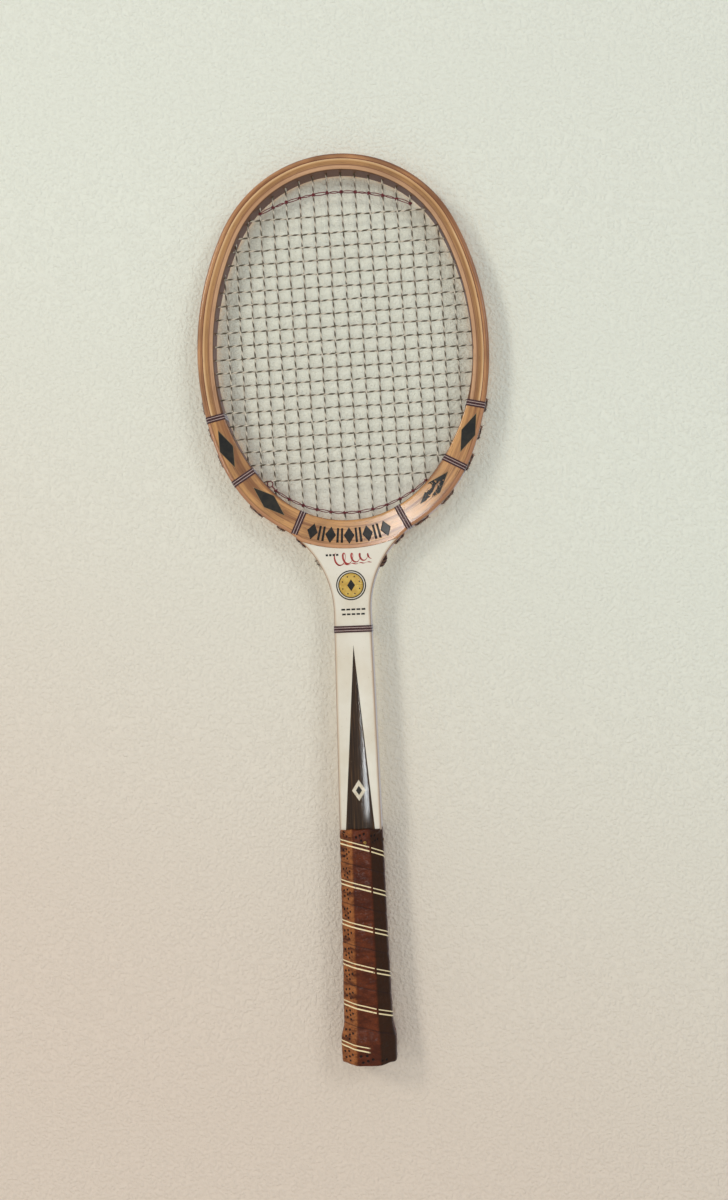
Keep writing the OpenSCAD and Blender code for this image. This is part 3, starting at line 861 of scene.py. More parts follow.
def build_bow():
    stations = bow_stations(1.6 * MM)
    tan = wood("outer_ply", (200, 144, 94), (148, 94, 54), blotch=0.6, rim=outer_rim)
    red = wood("red_veneer", (128, 66, 36), (96, 42, 22), blotch=0.2)
    pale = wood("pale_ply", (230, 190, 138), (206, 156, 102), blotch=0.2, rim=pale_rim)
    brown = wood("brown_ply", (186, 136, 84), (146, 100, 56), blotch=0.4)
    ring = wood("ring_wood", (210, 164, 124), (182, 134, 96), blotch=0.3, coat=0.06, rim=ring_rim, rough=0.5)
    strips = [
        ("bow_outer", outer_profile, "bow_outer_ply", "outer_ply", tan),
        ("bow_red_line", plain_profile(OUTER, OUTER + RED), "bow_red_veneer", "red_veneer", red),
        ("bow_pale", plain_profile(OUTER + RED, BOW - BROWN), "bow_pale_ply", "pale_ply", pale),
        ("bow_brown", plain_profile(BOW - BROWN, BOW), "bow_brown_ply", "brown_ply", brown),
    ]
    made = []
    for name, profile, node, slot_name, paint in strips:
        made.append((swept(name, strip_points(stations, profile)), node, slot_name, paint))
    made.append((swept("hoop_inner_ring", ring_points(), True), "inner_ring", "ring_wood", ring))
    for obj, *_ in made:
        recalculate(obj)
    drill([m[0] for m in made])
    for obj, node, slot_name, paint in made:
        set_smooth(obj.data, 38)
        mark_inset(obj)
        obj.data.materials.clear()
        finish_piece(obj, [node], [paint])


# ---------------------------------------------------------------- overlays, fibre, inlay

# The two faces of the racket: the side of the Y axis and the word in the nodes' names
FACES = [(-1, "front"), (1, "back")]

NEAR_EDGE = np.array([0.25, 0.4, 0.65, 1.0, 1.5, 2.2]) * MM


def across(width, start, end, inner=18):
    """Distances from one rim to the other, close together at both."""
    near = NEAR_EDGE - NEAR_EDGE[0] + start
    far = width - (NEAR_EDGE - NEAR_EDGE[0] + end)[::-1]
    return np.concatenate([near, np.linspace(near[-1], far[0], inner + 2)[1:-1], far])


OVERLAY_TURN = math.radians(12.8)
CREST_Z = WIDE_Z - SIDE_X * math.tan(OVERLAY_TURN)


def overlay_patch():
    """Outer face of the crown overlay, from the left whipping round the crown to the right."""
    line = rim_line(1.3 * MM)
    split = int(np.argmax(line[:, 1]))
    line = np.concatenate([line[split:], line[:split]])
    crest = CREST_Z - np.abs(line[:, 0]) * math.tan(OVERLAY_TURN)
    line = line[line[:, 1] + (HOOP / 2) * line[:, 3] < crest]
    width = reach(line, overlay_inset, 0.0, 60 * MM)
    rows = []
    for (x, z, nx, nz), w in zip(line, width):
        e = across(w, 0.3 * MM, 0.5 * MM)
        px, pz = x + nx * e, z + nz * e
        step = drop(overlay_inset(px, pz), 0.45 * MM)
        body = drop(body_inset(px, pz), edge_radius(pz))
        depth = FULL + OVERLAY_LIFT - np.maximum(step, body) - drop(e, INNER_EDGE)
        rows.append(np.stack([px, depth, pz], 1))
    return np.array(rows)


def overlay_rim(paint, base):
    """A pinkish-brown band along the overlay's edge, painted shade that stands for a wider rounded edge
    turning away, and a dark line along the band's inner side.
    """
    rim = paint.attribute("rim")
    edge = paint.ramp(rim, 2.9 * MM, 2.1 * MM)
    seam = paint.times(paint.ramp(rim, 3.5 * MM, 3.1 * MM), paint.ramp(rim, 2.5 * MM, 2.9 * MM))
    # Painted shade of the rounded edge, in a pinkish brown.
    base = paint.over(base, edge, 0.55, (196, 138, 100))
    return paint.over(base, seam, 0.45, (110, 62, 30))


def build_overlays():
    tones = (214, 157, 94), (142, 90, 48)
    paint = wood("overlay_veneer", *tones, (0.4, 0.62), 0.5, 0.9, rim=overlay_rim, rough=0.26)
    patch = overlay_patch()
    for side, face in FACES:
        obj = sheet("crown_veneer_" + face, [patch], SKIN, side)
        x, _, z = coordinates(obj.data).T
        set_attribute(obj.data, "inset", inset(x, z))
        set_attribute(obj.data, "rim", overlay_inset(x, z))
        finish_piece(obj, ["crown_overlay_" + face], [paint])


FIBRE_MARGIN = 0.8 * MM
FIBRE_BEND_Z = 360 * MM


def fibre_x(z):
    """Half of the fibre's width at a height."""
    arc = THROAT_X - np.sqrt(np.maximum(THROAT_R**2 - (z - THROAT_Z) ** 2, 0))
    return np.where(z > THROAT_Z, arc, shaft_half(z)) - FIBRE_MARGIN


def wedge_x(z):
    return WEDGE_HALF * np.clip((WEDGE_TIP - z) / (WEDGE_TIP - GRIP_TOP), 0, 1)


def fibre_patch(side):
    """Right or left half of the fibre's outer face, from the inlay's edge to its own."""
    low = np.linspace(GRIP_TOP, FIBRE_BEND_Z, 84)
    part = np.array([0, 0.03, 0.08, 0.16, 0.28, 0.42, 0.57, 0.71, 0.82, 0.9, 0.94, 0.97, 0.985, 1])
    rows = []
    for z in low:
        x = wedge_x(z) + (fibre_x(z) - wedge_x(z)) * part
        rows.append(np.stack([x, np.full_like(x, z)], 1))
    for t in np.linspace(0, 1, 22)[1:]:
        z = np.full_like(part, FIBRE_BEND_Z)
        for _ in range(30):
            x = fibre_x(z) * part
            top = LOW_Z - np.sqrt(OVERLAY_R**2 - x**2) - 0.02 * MM
            z = FIBRE_BEND_Z + t * (top - FIBRE_BEND_Z)
        rows.append(np.stack([fibre_x(z) * part, z], 1))
    plan = np.array(rows)
    depth = face_depth(plan[..., 0], plan[..., 1]) - FIBRE_SINK
    return np.stack([side * plan[..., 0], depth, plan[..., 1]], -1)


def wedge_patch():
    rows = []
    for t in np.linspace(0, 1, 90):
        z = GRIP_TOP + (WEDGE_TIP - 0.4 * MM - GRIP_TOP) * t
        x = wedge_x(z) * np.linspace(-1, 1, 25)
        z_row = np.full_like(x, z)
        edge = drop(wedge_x(z) - np.abs(x) + 0.02 * MM, 0.12 * MM)
        rows.append(np.stack([x, face_depth(x, z_row) - WEDGE_SINK - edge, z_row], 1))
    return np.array(rows)


def wedge_paint():
    """Near-black stained wood whose open grain shows as fine brown lines."""
    paint = Paint("dark_wedge", coat=0.5, coat_roughness=0.06)
    paint.shader.inputs["Specular IOR Level"].default_value = 0.05
    fine, _, point = straight_space(paint, 26, 1500)
    grain = paint.noise(fine, 1, 3, rough=0.6)
    lines = paint.ramp(grain, 0.56, 0.68)
    base = paint.mix(paint.ramp(grain, 0.3, 0.6), (38, 24, 12), (60, 41, 22))
    base = paint.over(base, lines, 0.6, (112, 80, 48))
    edge = paint.ramp(paint.noise(point, 300, 3), 0.66, 0.75)
    base = paint.over(base, edge, 0.3, (150, 122, 92))
    paint.colour(base)
    paint.roughness(grain, 0.36, 0.5)
    paint.bump(grain, 0.02 * MM, 0.5, coat=True)
    return paint.material


def build_shaft_faces():
    cream, dark = fibre_face(), wedge_paint()
    for side, face in FACES:
        obj = sheet("fibre_sheet_" + face, [fibre_patch(1), fibre_patch(-1)], SKIN, side)
        mark_inset(obj)
        finish_piece(obj, ["fibre_face_" + face], [cream])
        obj = sheet("shaft_wedge_" + face, [wedge_patch()], SKIN, side)
        finish_piece(obj, ["wedge_inlay_" + face], [dark])


# ---------------------------------------------------------------- transfers and prints


def surface(x, z, lift):
    """Points just over the front face, where prints and transfers lie."""
    on_overlay = np.hypot(x, z - LOW_Z) < OVERLAY_R
    below = np.where(np.abs(x) < wedge_x(z), -WEDGE_SINK, -FIBRE_SINK)
    depth = face_depth(x, z) + np.where(on_overlay, OVERLAY_LIFT, below)
    return np.stack([x, depth + lift, z], -1)


def square_grid(n, half=1.0):
    line = np.linspace(-half, half, n)
    return np.meshgrid(line, line, indexing="ij")


def lozenge_plan(x, z, turn, long, wide, n):
    """A grid over a lozenge: its two grid directions run along its sides."""
    u, v = square_grid(n)
    along, aside = (u + v) / 2 * long / 2, (u - v) / 2 * wide / 2
    c, s = math.cos(turn), math.sin(turn)
    return x + aside * c - along * s, z + aside * s + along * c


# Middle in mm, turn in degrees, length and width of each transfer. The right-hand pair was put on
# a little higher up the hoop than the left-hand pair
LEFT_DIAMONDS = [(-90.4, 466.6, 22.5, 32.2, 11.5), (-59.6, 425.6, 46, 33.2, 11.9)]
RIGHT_DIAMONDS = [(92.3, 470.8, -24.5, 32.2, 11.5), (65.2, 430.6, -43, 33.2, 11.9)]
DIAMOND_ROWS = 44
WORN_BELOW = 450


def diamond_paint(name, wear):
    """Black varnished transfer with a thin pale edge, scratched through in places."""
    paint = Paint(name, coat=0.3, coat_roughness=0.12)
    point = paint.place()[0]
    edge = paint.ramp(paint.attribute("edge"), 0.93, 0.96)
    mottle = paint.noise(point, 240, 4)
    base = paint.mix(paint.ramp(mottle, 0.35, 0.7), (24, 22, 16), (42, 37, 26))
    scratch = paint.ramp(paint.noise(point, 330, 3, rough=0.65), 0.74 - wear, 0.78 - wear)
    base = paint.mix(scratch, base, (190, 156, 120))
    paint.colour(paint.over(base, edge, 0.7, (176, 140, 92)))
    paint.roughness(mottle, 0.26, 0.4)
    paint.bump(mottle, 0.03 * MM, 0.4)
    return paint.material


def flaked(x, z, long_part, wide_part):
    """Where the heavily worn transfer has come away: a rip along it and flakes off its edges."""
    points = np.stack([x, z], -1)
    rip = np.abs(wide_part - 0.18 + 0.22 * np.sin(2.4 * long_part) + ripple(5, points, 5 * MM, 0.08)) < 0.09
    rip &= (long_part > -0.75) & (long_part < 0.35)
    bite = (long_part + 0.2) ** 2 / 0.05 + (wide_part + 0.62) ** 2 / 0.12 < 1 + ripple(6, points, 3 * MM, 0.5)
    flakes = ripple(8, points, 2.6 * MM, 1) > 1.05
    return rip | bite | flakes


def build_diamonds():
    fresh, worn = diamond_paint("transfer_black", 0.0), diamond_paint("transfer_worn", 0.06)
    n = DIAMOND_ROWS
    u, v = square_grid(n)
    edge = np.maximum(np.abs(u), np.abs(v)).ravel()
    for side, face in FACES:
        patches, quads, slots = [], [], []
        for k, (x, z, turn, long, wide) in enumerate(LEFT_DIAMONDS + RIGHT_DIAMONDS):
            px, pz = lozenge_plan(x * MM, z * MM, math.radians(turn), long * MM, wide * MM, n)
            patches.append(surface(px, pz, 0.09 * MM))
            kept = grid_faces(n, n, False, False)
            damaged = x > 0 and z < WORN_BELOW and side < 0
            if damaged:
                gone = flaked(px, pz, (u + v) / 2, (u - v) / 2).ravel()
                kept = kept[gone[kept].sum(1) < 2]
            quads += (kept + k * n * n).tolist()
            slots += [int(damaged)] * len(kept)
        obj = mesh_object("diamond_transfers_" + face, joined(patches, side)[0], quads)
        obj.data.polygons.foreach_set("material_index", slots)
        set_attribute(obj.data, "edge", np.tile(edge, len(patches)))
        recalculate(obj)
        drop_loose(obj)
        facing(obj, side)
        thicken(obj, 0.1 * MM)
        finish_piece(obj, ["diamonds_" + face], [fresh, worn])


def print_piece(name, grids, paint, lift=0.05 * MM):
    """Ink on the front face: thin patches, each a pair of x and z grids."""
    obj = mesh_object(name, *joined([surface(x, z, lift) for x, z in grids], -1))
    facing(obj, -1)
    thicken(obj, lift + 0.02 * MM)
    return finish_piece(obj, [], [paint])


def box_plan(x, z, wide, tall):
    u, v = np.meshgrid(np.linspace(-0.5, 0.5, 6), np.linspace(-0.5, 0.5, 5), indexing="ij")
    return x + wide * u, z + tall * v


def ring_plan(x, z, near, far):
    """A flat ring, or a disc when near is 0."""
    a, r = np.meshgrid(np.linspace(0, TAU, 65), np.linspace(max(near, 0.02 * MM), far, 6), indexing="ij")
    return x + r * np.cos(a), z + r * np.sin(a)


def on_crown(x, z):
    """Bends a row drawn along x into an arc that follows the opening."""
    angle = x / CROWN_ROW_R
    r = CROWN_ROW_R - z
    return r * np.sin(angle), OPEN_LOW_Z - r * np.cos(angle)


CROWN_ROW_R = 91.7 * MM
CROWN_LOZENGES = 5
CROWN_PITCH = 14 * MM
ROUNDEL_Z = 360 * MM
DOTS_R = 6.9 * MM
INLAY_MARK_Z = 205.5 * MM
# Count, first x, step, height, width and tallness of the dashes in each row, in mm
DASH_ROWS = [
    (5, -6.6, 3.8, 341.8, 2.9, 1.3),
    (5, -6.2, 3.6, 338.2, 2.7, 1.3),
    (4, -17.4, 2.6, 383.2, 1.7, 1.5),
]


def flourish(mid_z, swing, half_width):
    """A looping pen stroke that thins towards its ends and on its upstrokes."""
    t = np.linspace(0, 1, 240)
    turn = TAU * 4.5 * t
    fade = 1 - 0.62 * t
    x = (-10.5 + 27 * t) * MM - 0.62 * swing * fade * np.sin(turn)
    z = mid_z + swing * fade * np.cos(turn) * 1.15 + 1.6 * MM * (t - 0.5)
    run = np.stack([np.gradient(x), np.gradient(z)], 1)
    run /= np.linalg.norm(run, axis=1)[:, None]
    half = half_width * (0.7 + 0.45 * np.sin(turn)) * np.minimum(1, 12 * np.minimum(t, 1 - t) + 0.15)
    v = np.array([-1, -0.33, 0.33, 1])
    return x[:, None] - run[:, 1:] * half[:, None] * v, z[:, None] + run[:, :1] * half[:, None] * v


def build_prints():
    ink = plain("ink_black", (20, 18, 14), (38, 33, 25), 260, 0.4, coat=0.2)
    red = plain("ink_red", (176, 52, 40), (150, 40, 34), 300, 0.4, coat=0.4)
    gold = plain("ink_gold", (214, 178, 84), (194, 152, 62), 220, 0.36, coat=0.5)
    cream = plain("ink_cream", (226, 214, 190), (204, 188, 158), 320, 0.4, coat=0.5)
    row = []
    for k in range(CROWN_LOZENGES):
        centre = (k - (CROWN_LOZENGES - 1) / 2) * CROWN_PITCH
        row.append(on_crown(*lozenge_plan(centre, 0, 0, 12.5 * MM, 8.2 * MM, 12)))
        if k < CROWN_LOZENGES - 1:
            for aside in (-1.6 * MM, 1.6 * MM):
                row.append(on_crown(*box_plan(centre + CROWN_PITCH / 2 + aside, 0, 1.7 * MM, 11 * MM)))
    print_piece("crown_lozenge_row", row, ink)

    strokes = [flourish(380.5 * MM, 4.3 * MM, 0.62 * MM), flourish(376.2 * MM, 0.5 * MM, 0.36 * MM)]
    print_piece("throat_flourish", strokes, red, 0.06 * MM)

    mid_z = ROUNDEL_Z
    print_piece("throat_roundel_gold", [ring_plan(0, mid_z, 0, 9.1 * MM)], gold, 0.05 * MM)
    dark = [ring_plan(0, mid_z, 10.4 * MM, 11.3 * MM), ring_plan(0, mid_z, 9.0 * MM, 9.7 * MM)]
    dark.append(lozenge_plan(0, mid_z, 0, 9 * MM, 6 * MM, 10))
    for k in range(8):
        a = TAU * (k + 0.5) / 8
        dark.append(ring_plan(DOTS_R * math.cos(a), mid_z + DOTS_R * math.sin(a), 0, 0.55 * MM))
    for count, first_x, step, z, wide, tall in DASH_ROWS:
        for k in range(count):
            dark.append(box_plan((first_x + step * k) * MM, z * MM, wide * MM, tall * MM))
    print_piece("throat_dark_marks", dark, ink, 0.07 * MM)

    mark = lozenge_plan(0, INLAY_MARK_Z, 0, 16 * MM, 10.5 * MM, 14)
    eye = lozenge_plan(0, INLAY_MARK_Z, 0, 7 * MM, 4.6 * MM, 8)
    print_piece("inlay_lozenge", [mark], cream, 0.05 * MM)
    print_piece("inlay_lozenge_eye", [eye], ink, 0.08 * MM)


# ---------------------------------------------------------------- whippings

THREAD_R = 0.22 * MM
TURNS = 12
TURN_PITCH = 0.42 * MM
THREAD_STEP = 1.4 * MM
WHIP_STRIPES = [0, 0, 0, 1, 0, 0, 0, 0, 1, 0, 0, 0]


def hoop_band(origin_z, turn, side):
    """Sections across the hoop for each turn of thread: its two ends in the plan."""
    heading = np.array([math.cos(turn), -math.sin(turn)])
    normal = np.array([math.sin(turn), math.cos(turn)])
    reach_at = np.arange(60, 130, 0.02) * MM
    sections = []
    for k in range(TURNS):
        start = np.array([0, origin_z]) + normal * TURN_PITCH * (k - (TURNS - 1) / 2)
        x, z = start[0] + heading[0] * reach_at, start[1] + heading[1] * reach_at
        wood_part = ~np.array([in_opening(a, b) for a, b in zip(x, z)])
        near = reach_at[np.where(~wood_part)[0].max()]
        low_part = (body_inset(x, z) > 0) & (np.hypot(x, z - LOW_Z) < LOW_R + 0.5 * MM)
        far = reach_at[np.where(wood_part & (low_part | (inset(x, z) > 0)))[0].max()]
        a, b = start + heading * near, start + heading * far
        sections.append((np.array([side * a[0], a[1]]), np.array([side * b[0], b[1]])))
    return sections


def wound(tubes, a, b, depth, corner_a, corner_b, slot):
    """One turn of thread round a section from a to b, with rounded corners."""
    run = b - a
    length = np.linalg.norm(run)
    heading = run / length
    points = []
    quarter = math.pi / 2
    for end, radius, sign in ((length, corner_b, 1), (0, corner_a, -1)):
        r = radius + THREAD_R * 0.8
        first = -quarter if sign > 0 else quarter
        for t in np.linspace(first, first + math.pi, 9):
            y = 0
            if abs(math.sin(t)) > 1e-6:
                y = math.copysign(depth - radius, math.sin(t)) + r * math.sin(t)
            points.append((end - sign * radius + r * math.cos(t), y))
    path = []
    for (u, y), (u2, y2) in zip(points, points[1:] + points[:1]):
        parts = max(1, int(math.hypot(u2 - u, y2 - y) / THREAD_STEP))
        for m in range(parts):
            s = m / parts
            path.append((u + (u2 - u) * s, y + (y2 - y) * s))
    jitter = [chance.uniform(-1, 1) * 0.03 * MM for _ in path]
    round_it = []
    for (u, y), j in zip(path, jitter):
        round_it.append((a[0] + heading[0] * u, y * (1 + j / depth), a[1] + heading[1] * u))
    tubes.add(round_it, THREAD_R, 6, closed=True, slot=slot)


def build_whippings():
    dark = thread_paint("thread_maroon", (52, 20, 22), (84, 38, 36))
    silver = thread_paint("thread_silver", (228, 204, 192), (190, 162, 150))

    def band(where, sections, depth, corner_a, corner_b):
        tubes = Tubes()
        for (a, b), slot in zip(sections, WHIP_STRIPES):
            wound(tubes, a, b, depth, corner_a, corner_b, slot)
        tubes.make("thread_" + where, ["whipping_" + where], [dark, silver])

    # The right-hand bands were wound a little higher up the hoop than the left-hand ones
    bands = [
        ("upper_left", -1, CREST_Z, OVERLAY_TURN, HEAD_EDGE),
        ("upper_right", 1, CREST_Z + 2.2 * MM, OVERLAY_TURN, HEAD_EDGE),
        ("middle_left", -1, LOW_Z, math.radians(32), HEAD_EDGE),
        ("middle_right", 1, LOW_Z, math.radians(28.6), HEAD_EDGE),
        ("crown_left", -1, OPEN_LOW_Z, math.radians(65), 1.6 * MM),
        ("crown_right", 1, OPEN_LOW_Z, math.radians(62.6), 1.6 * MM),
    ]
    for where, side, origin_z, turn, corner in bands:
        band(where, hoop_band(origin_z, turn, side), FULL + OVERLAY_LIFT, INNER_EDGE, corner)
    mid_z = (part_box("whipping_shaft")[0].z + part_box("whipping_shaft")[1].z) / 2
    sections = []
    for k in range(TURNS):
        z = mid_z + TURN_PITCH * (k - (TURNS - 1) / 2)
        half = shaft_half(z)
        sections.append((np.array([-half, z]), np.array([half, z])))
    band("shaft", sections, FULL, SHAFT_EDGE, SHAFT_EDGE)


# ---------------------------------------------------------------- strings


def main_path(i, side):
    bend, out = main_low(i, side)
    top_z = main_top(i, side, GROOVE)[1]
    rim_z = rim_crossing(lambda z: main_x(i, z, side), LEAN_Z, LENGTH)
    heights, depths, sways = [bend[1] + 1 * MM], [0.0], [0.0]
    for j in range(len(CROSSES)):
        z = cross_z(j, main_x(i, CROSSES[j], side))
        if bend[1] + 2 * MM < z < rim_z - 2 * MM:
            heights.append(z)
            depths.append(MAIN_BEND * weave_sign(i, j, side))
            sways.append(chance.uniform(-1, 1) * 0.16 * MM)
    heights += [rim_z, top_z]
    depths += [0.0, 0.0]
    sways += [0.0, 0.0]
    z = np.linspace(heights[0], top_z, int((top_z - heights[0]) / STRING_STEP))
    x = main_x(i, z, side) + eased(z, heights, sways)
    path = np.stack([x, eased(z, heights, depths), z], 1)
    foot = np.array([out[0], 0, out[1]])
    span = np.array([bend[0], 0, bend[1]]) - foot
    return np.concatenate([[foot + span * s for s in (0, 0.35, 0.7, 0.93)], path])


def eased(at, knots, values):
    """Values between the knots, flat at each of them."""
    k = np.clip(np.searchsorted(knots, at) - 1, 0, len(knots) - 2)
    knots, values = np.array(knots), np.array(values)
    t = np.clip((at - knots[k]) / (knots[k + 1] - knots[k]), 0, 1)
    return values[k] + (values[k + 1] - values[k]) * (0.5 - 0.5 * np.cos(np.pi * t))


def weave_sign(i, j, side):
    column = i if side > 0 else -1 - i
    return 1 if (column + j) % 2 == 0 else -1


def cross_path(j):
    (x0, _), (x1, _) = cross_ends(j, GROOVE if CROSSES[j] > GROOVE_START else 0.2 * MM)
    rims = []
    for side in (-1, 1):
        rims.append(side * halve(lambda t: in_opening(side * t, cross_z(j, side * t)), 0.0, RIM_FAR))
    columns = [(-1, i) for i in range(len(MAINS) - 1, -1, -1)] + [(1, i) for i in range(len(MAINS))]
    middles = []
    for side, i in columns:
        x = main_x(i, CROSSES[j], side)
        if rims[0] + 2.5 * MM < x < rims[1] - 2.5 * MM:
            middles.append((x, -CROSS_BEND * weave_sign(i, j, side)))
    knots = [x0, rims[0]] + [m[0] for m in middles] + [rims[1], x1]
    depths = [0.0, 0.0] + [m[1] for m in middles] + [0.0, 0.0]
    sways = [0.0, 0.0] + [chance.uniform(-1, 1) * 0.14 * MM for _ in middles] + [0.0, 0.0]
    x = np.linspace(x0, x1, int((x1 - x0) / STRING_STEP))
    z = cross_z(j, x) + eased(x, knots, sways)
    return np.stack([x, eased(x, knots, depths), z], 1)


def outward(x, z):
    """Unit vector out of the body at a point of its outline."""
    h = 0.05 * MM
    gx = float(body_inset(x + h, z) - body_inset(x - h, z))
    gz = float(body_inset(x, z + h) - body_inset(x, z - h))
    n = -np.array([gx, gz])
    return n / np.linalg.norm(n)


def loop_path(a, b, inner_a, inner_b, lift):
    """String from inside hole a, over the outside of the frame and into hole b."""
    a, b = np.array(a), np.array(b)
    points = [np.array(inner_a), a + (np.array(inner_a) - a) * 0.35]
    for t in np.linspace(0.1, 0.9, 6):
        p = a + (b - a) * t
        n = outward(*p)
        level = lift * min(1, 0.55 + 4 * min(t, 1 - t))
        for _ in range(3):
            p = p + n * (float(body_inset(*p)) + level)
        points.append(p)
    points += [b + (np.array(inner_b) - b) * 0.35, np.array(inner_b)]
    plan = curve_through(points, 4)
    return np.stack([plan[:, 0], np.zeros(len(plan)), plan[:, 1]], 1)


def build_strings():
    cream = string_paint("string", (214, 202, 180), (92, 81, 62), cover=-0.1)
    soiled = string_paint("string_soiled", (124, 88, 70), (58, 36, 32), 5 * MM, rough=0.5)
    tubes = Tubes()
    for side in (-1, 1):
        for i in range(len(MAINS)):
            tubes.add(main_path(i, side), STRING_R, 10, start=chance.uniform(0, TWIST))
    tubes.make("strings_upright", ["main_strings"], [cream])
    tubes = Tubes()
    for j in range(len(CROSSES)):
        tubes.add(cross_path(j), STRING_R, 10, start=chance.uniform(0, TWIST))
    tubes.make("strings_across", ["cross_strings"], [cream])
    build_loops(cream, soiled)


# How deep a loop's ends lie in their holes, and how much the worn loops have swollen
HOLE_REACH = 4 * MM
SWELLING = 0.22


def build_loops(cream, soiled):
    """Short lengths outside the frame, worn and frayed where nothing sinks them."""
    tubes = Tubes()
    sunk = STRING_R + 0.1 * MM - GROOVE
    proud = STRING_R + 0.15 * MM
    last = len(MAINS) - 1

    def top_pair(first, side_a, second, side_b):
        ends = [main_top(first, side_a, 0), main_top(second, side_b, 0)]
        inner = [main_top(first, side_a, HOLE_REACH), main_top(second, side_b, HOLE_REACH)]
        tubes.add(loop_path(*ends, *inner, sunk), STRING_R, 10)

    def low_pair(first, second, side):
        ends, inner = [], []
        for i in (first, second):
            bend, out = main_low(i, side)
            run = np.subtract(bend, out)
            ends.append(out)
            inner.append(tuple(np.array(out) + run / np.linalg.norm(run) * 3 * MM))
        path = loop_path(*ends, *inner, proud)
        by_throat = first == 0
        slot = 0 if by_throat and side < 0 else 1
        tubes.add(path, swollen(path, SWELLING), 10, slot=slot)
        fray(tubes, ends, slot)
        if by_throat:
            lump(tubes, path, side, slot)

    top_pair(0, -1, 0, 1)
    for side in (-1, 1):
        for i in range(1, last, 2):
            top_pair(i, side, i + 1, side)
        for i in range(0, last, 2):
            low_pair(i, i + 1, side)
        first, pick = (0, 1) if side > 0 else (1, 0)
        for j in range(first, len(CROSSES) - 3 + first, 2):
            in_groove = CROSSES[j] > GROOVE_START
            ends = [cross_ends(k, 0)[pick] for k in (j, j + 1)]
            inner = [cross_ends(k, HOLE_REACH)[pick] for k in (j, j + 1)]
            path = loop_path(*ends, *inner, sunk if in_groove else proud)
            tubes.add(path, swollen(path, SWELLING * (not in_groove)), 10, slot=int(not in_groove))
            if not in_groove:
                fray(tubes, ends)
    tubes.make("strings_outside", ["string_loops"], [cream, soiled])


def swollen(path, amount):
    """Radii of a loop whose worn strands have swollen by different amounts."""
    return STRING_R * (1 + amount * np.clip(0.6 + ripple(51, path, 3.4 * MM, 1), 0, 1.6))


def lump(tubes, path, side, slot):
    """Loose strands wound round the loop beside the throat."""
    middle = path[len(path) // 4: -(len(path) // 4)]
    count = 60
    at = np.linspace(0, len(middle) - 1, count)
    core = np.stack([np.interp(at, np.arange(len(middle)), middle[:, k]) for k in range(3)], 1)
    for strand in range(3 if side > 0 else 2):
        angle = TAU * (np.linspace(0, 3.2, count) + strand / 3)
        bulge = (0.45 + 0.4 * side) * np.sin(np.linspace(0, math.pi, count))
        r = (0.85 + bulge + ripple(60 + strand, core, 2 * MM, 0.2)) * MM
        n = outward(core[count // 2, 0], core[count // 2, 2])
        wind = np.stack([n[0] * r * np.cos(angle), r * np.sin(angle), n[1] * r * np.cos(angle)], 1)
        tubes.add(core + wind, 0.42 * MM, 7, slot=slot)


def fray(tubes, ends, slot=1):
    """Whiskers of torn strand that stand out of a proud loop."""
    for _ in range(16):
        t = chance.uniform(0, 1)
        p = np.array(ends[0]) * (1 - t) + np.array(ends[1]) * t
        n = outward(*p)
        p = p + n * (float(body_inset(*p)) + STRING_R * 1.4)
        length = chance.uniform(0.9, 2.6) * MM
        lean = np.array([-n[1], n[0]]) * chance.uniform(-0.8, 0.8)
        rise = chance.uniform(-0.7, 0.7)
        points = []
        for s in (0, 0.35, 0.7, 1.0):
            q = p + (n * 0.75 + lean * s * 1.3) * length * s
            points.append((q[0], rise * length * s + chance.uniform(-1, 1) * 0.15 * MM, q[1]))
        radius = np.linspace(0.11, 0.04, 4) * MM
        tubes.add(points, radius, 5, slot=slot)


def knot(tubes, x, z, turns=2.4):
    """A cord wound tightly round a main."""
    count = 34
    t = np.linspace(0, 1, count)
    angle = TAU * turns * t + chance.uniform(0, TAU)
    r = STRING_R + 0.42 * MM + 0.12 * MM * np.sin(3 * angle)
    path = np.stack([x + r * np.cos(angle), r * np.sin(angle), z + (t - 0.5) * 1.9 * MM], 1)
    tubes.add(path, 0.4 * MM, 8)


# Height of the arc's centre, its radius and whether the cord runs over or under that centre
TREBLING = {"top": (521 * MM, 137.8 * MM, 1), "bottom": (506 * MM, 90.7 * MM, -1)}


def build_trebling():
    paint = thread_paint("cord_red", (124, 34, 38), (82, 22, 26), 0.2)
    for name, (centre_z, radius, rise) in TREBLING.items():

        def arc_z(x):
            return centre_z + rise * math.sqrt(radius**2 - x**2)

        tubes = Tubes()
        knots = []
        for side, order in ((-1, range(5, -1, -1)), (1, range(6))):
            for i in order:
                x = main_x(i, arc_z(MAINS[i]), side)
                knots.append((x, arc_z(x)))
        for sign in (-1, 1):
            path = []
            for k, (start, end) in enumerate(zip(knots, knots[1:])):
                bow_out = chance.uniform(0.55, 0.95) * MM
                flip = sign * (1 if k % 2 else -1)
                for t in np.arange(0, 1, 1 / 9):
                    x = start[0] + (end[0] - start[0]) * t
                    y = sign * (0.35 + 0.65 * math.cos(math.pi * t) ** 2) * MM
                    path.append((x, y, arc_z(x) + flip * bow_out * math.sin(math.pi * t)))
            path.append((knots[-1][0], sign * 1.0 * MM, knots[-1][1]))
            tubes.add(path, 0.34 * MM, 8)
        for x, z in knots:
            knot(tubes, x, z)
        if name == "bottom":
            end_eye(tubes, *knots[0])
        tubes.make("trebling_cord_" + name, ["trebling_" + name], [paint])


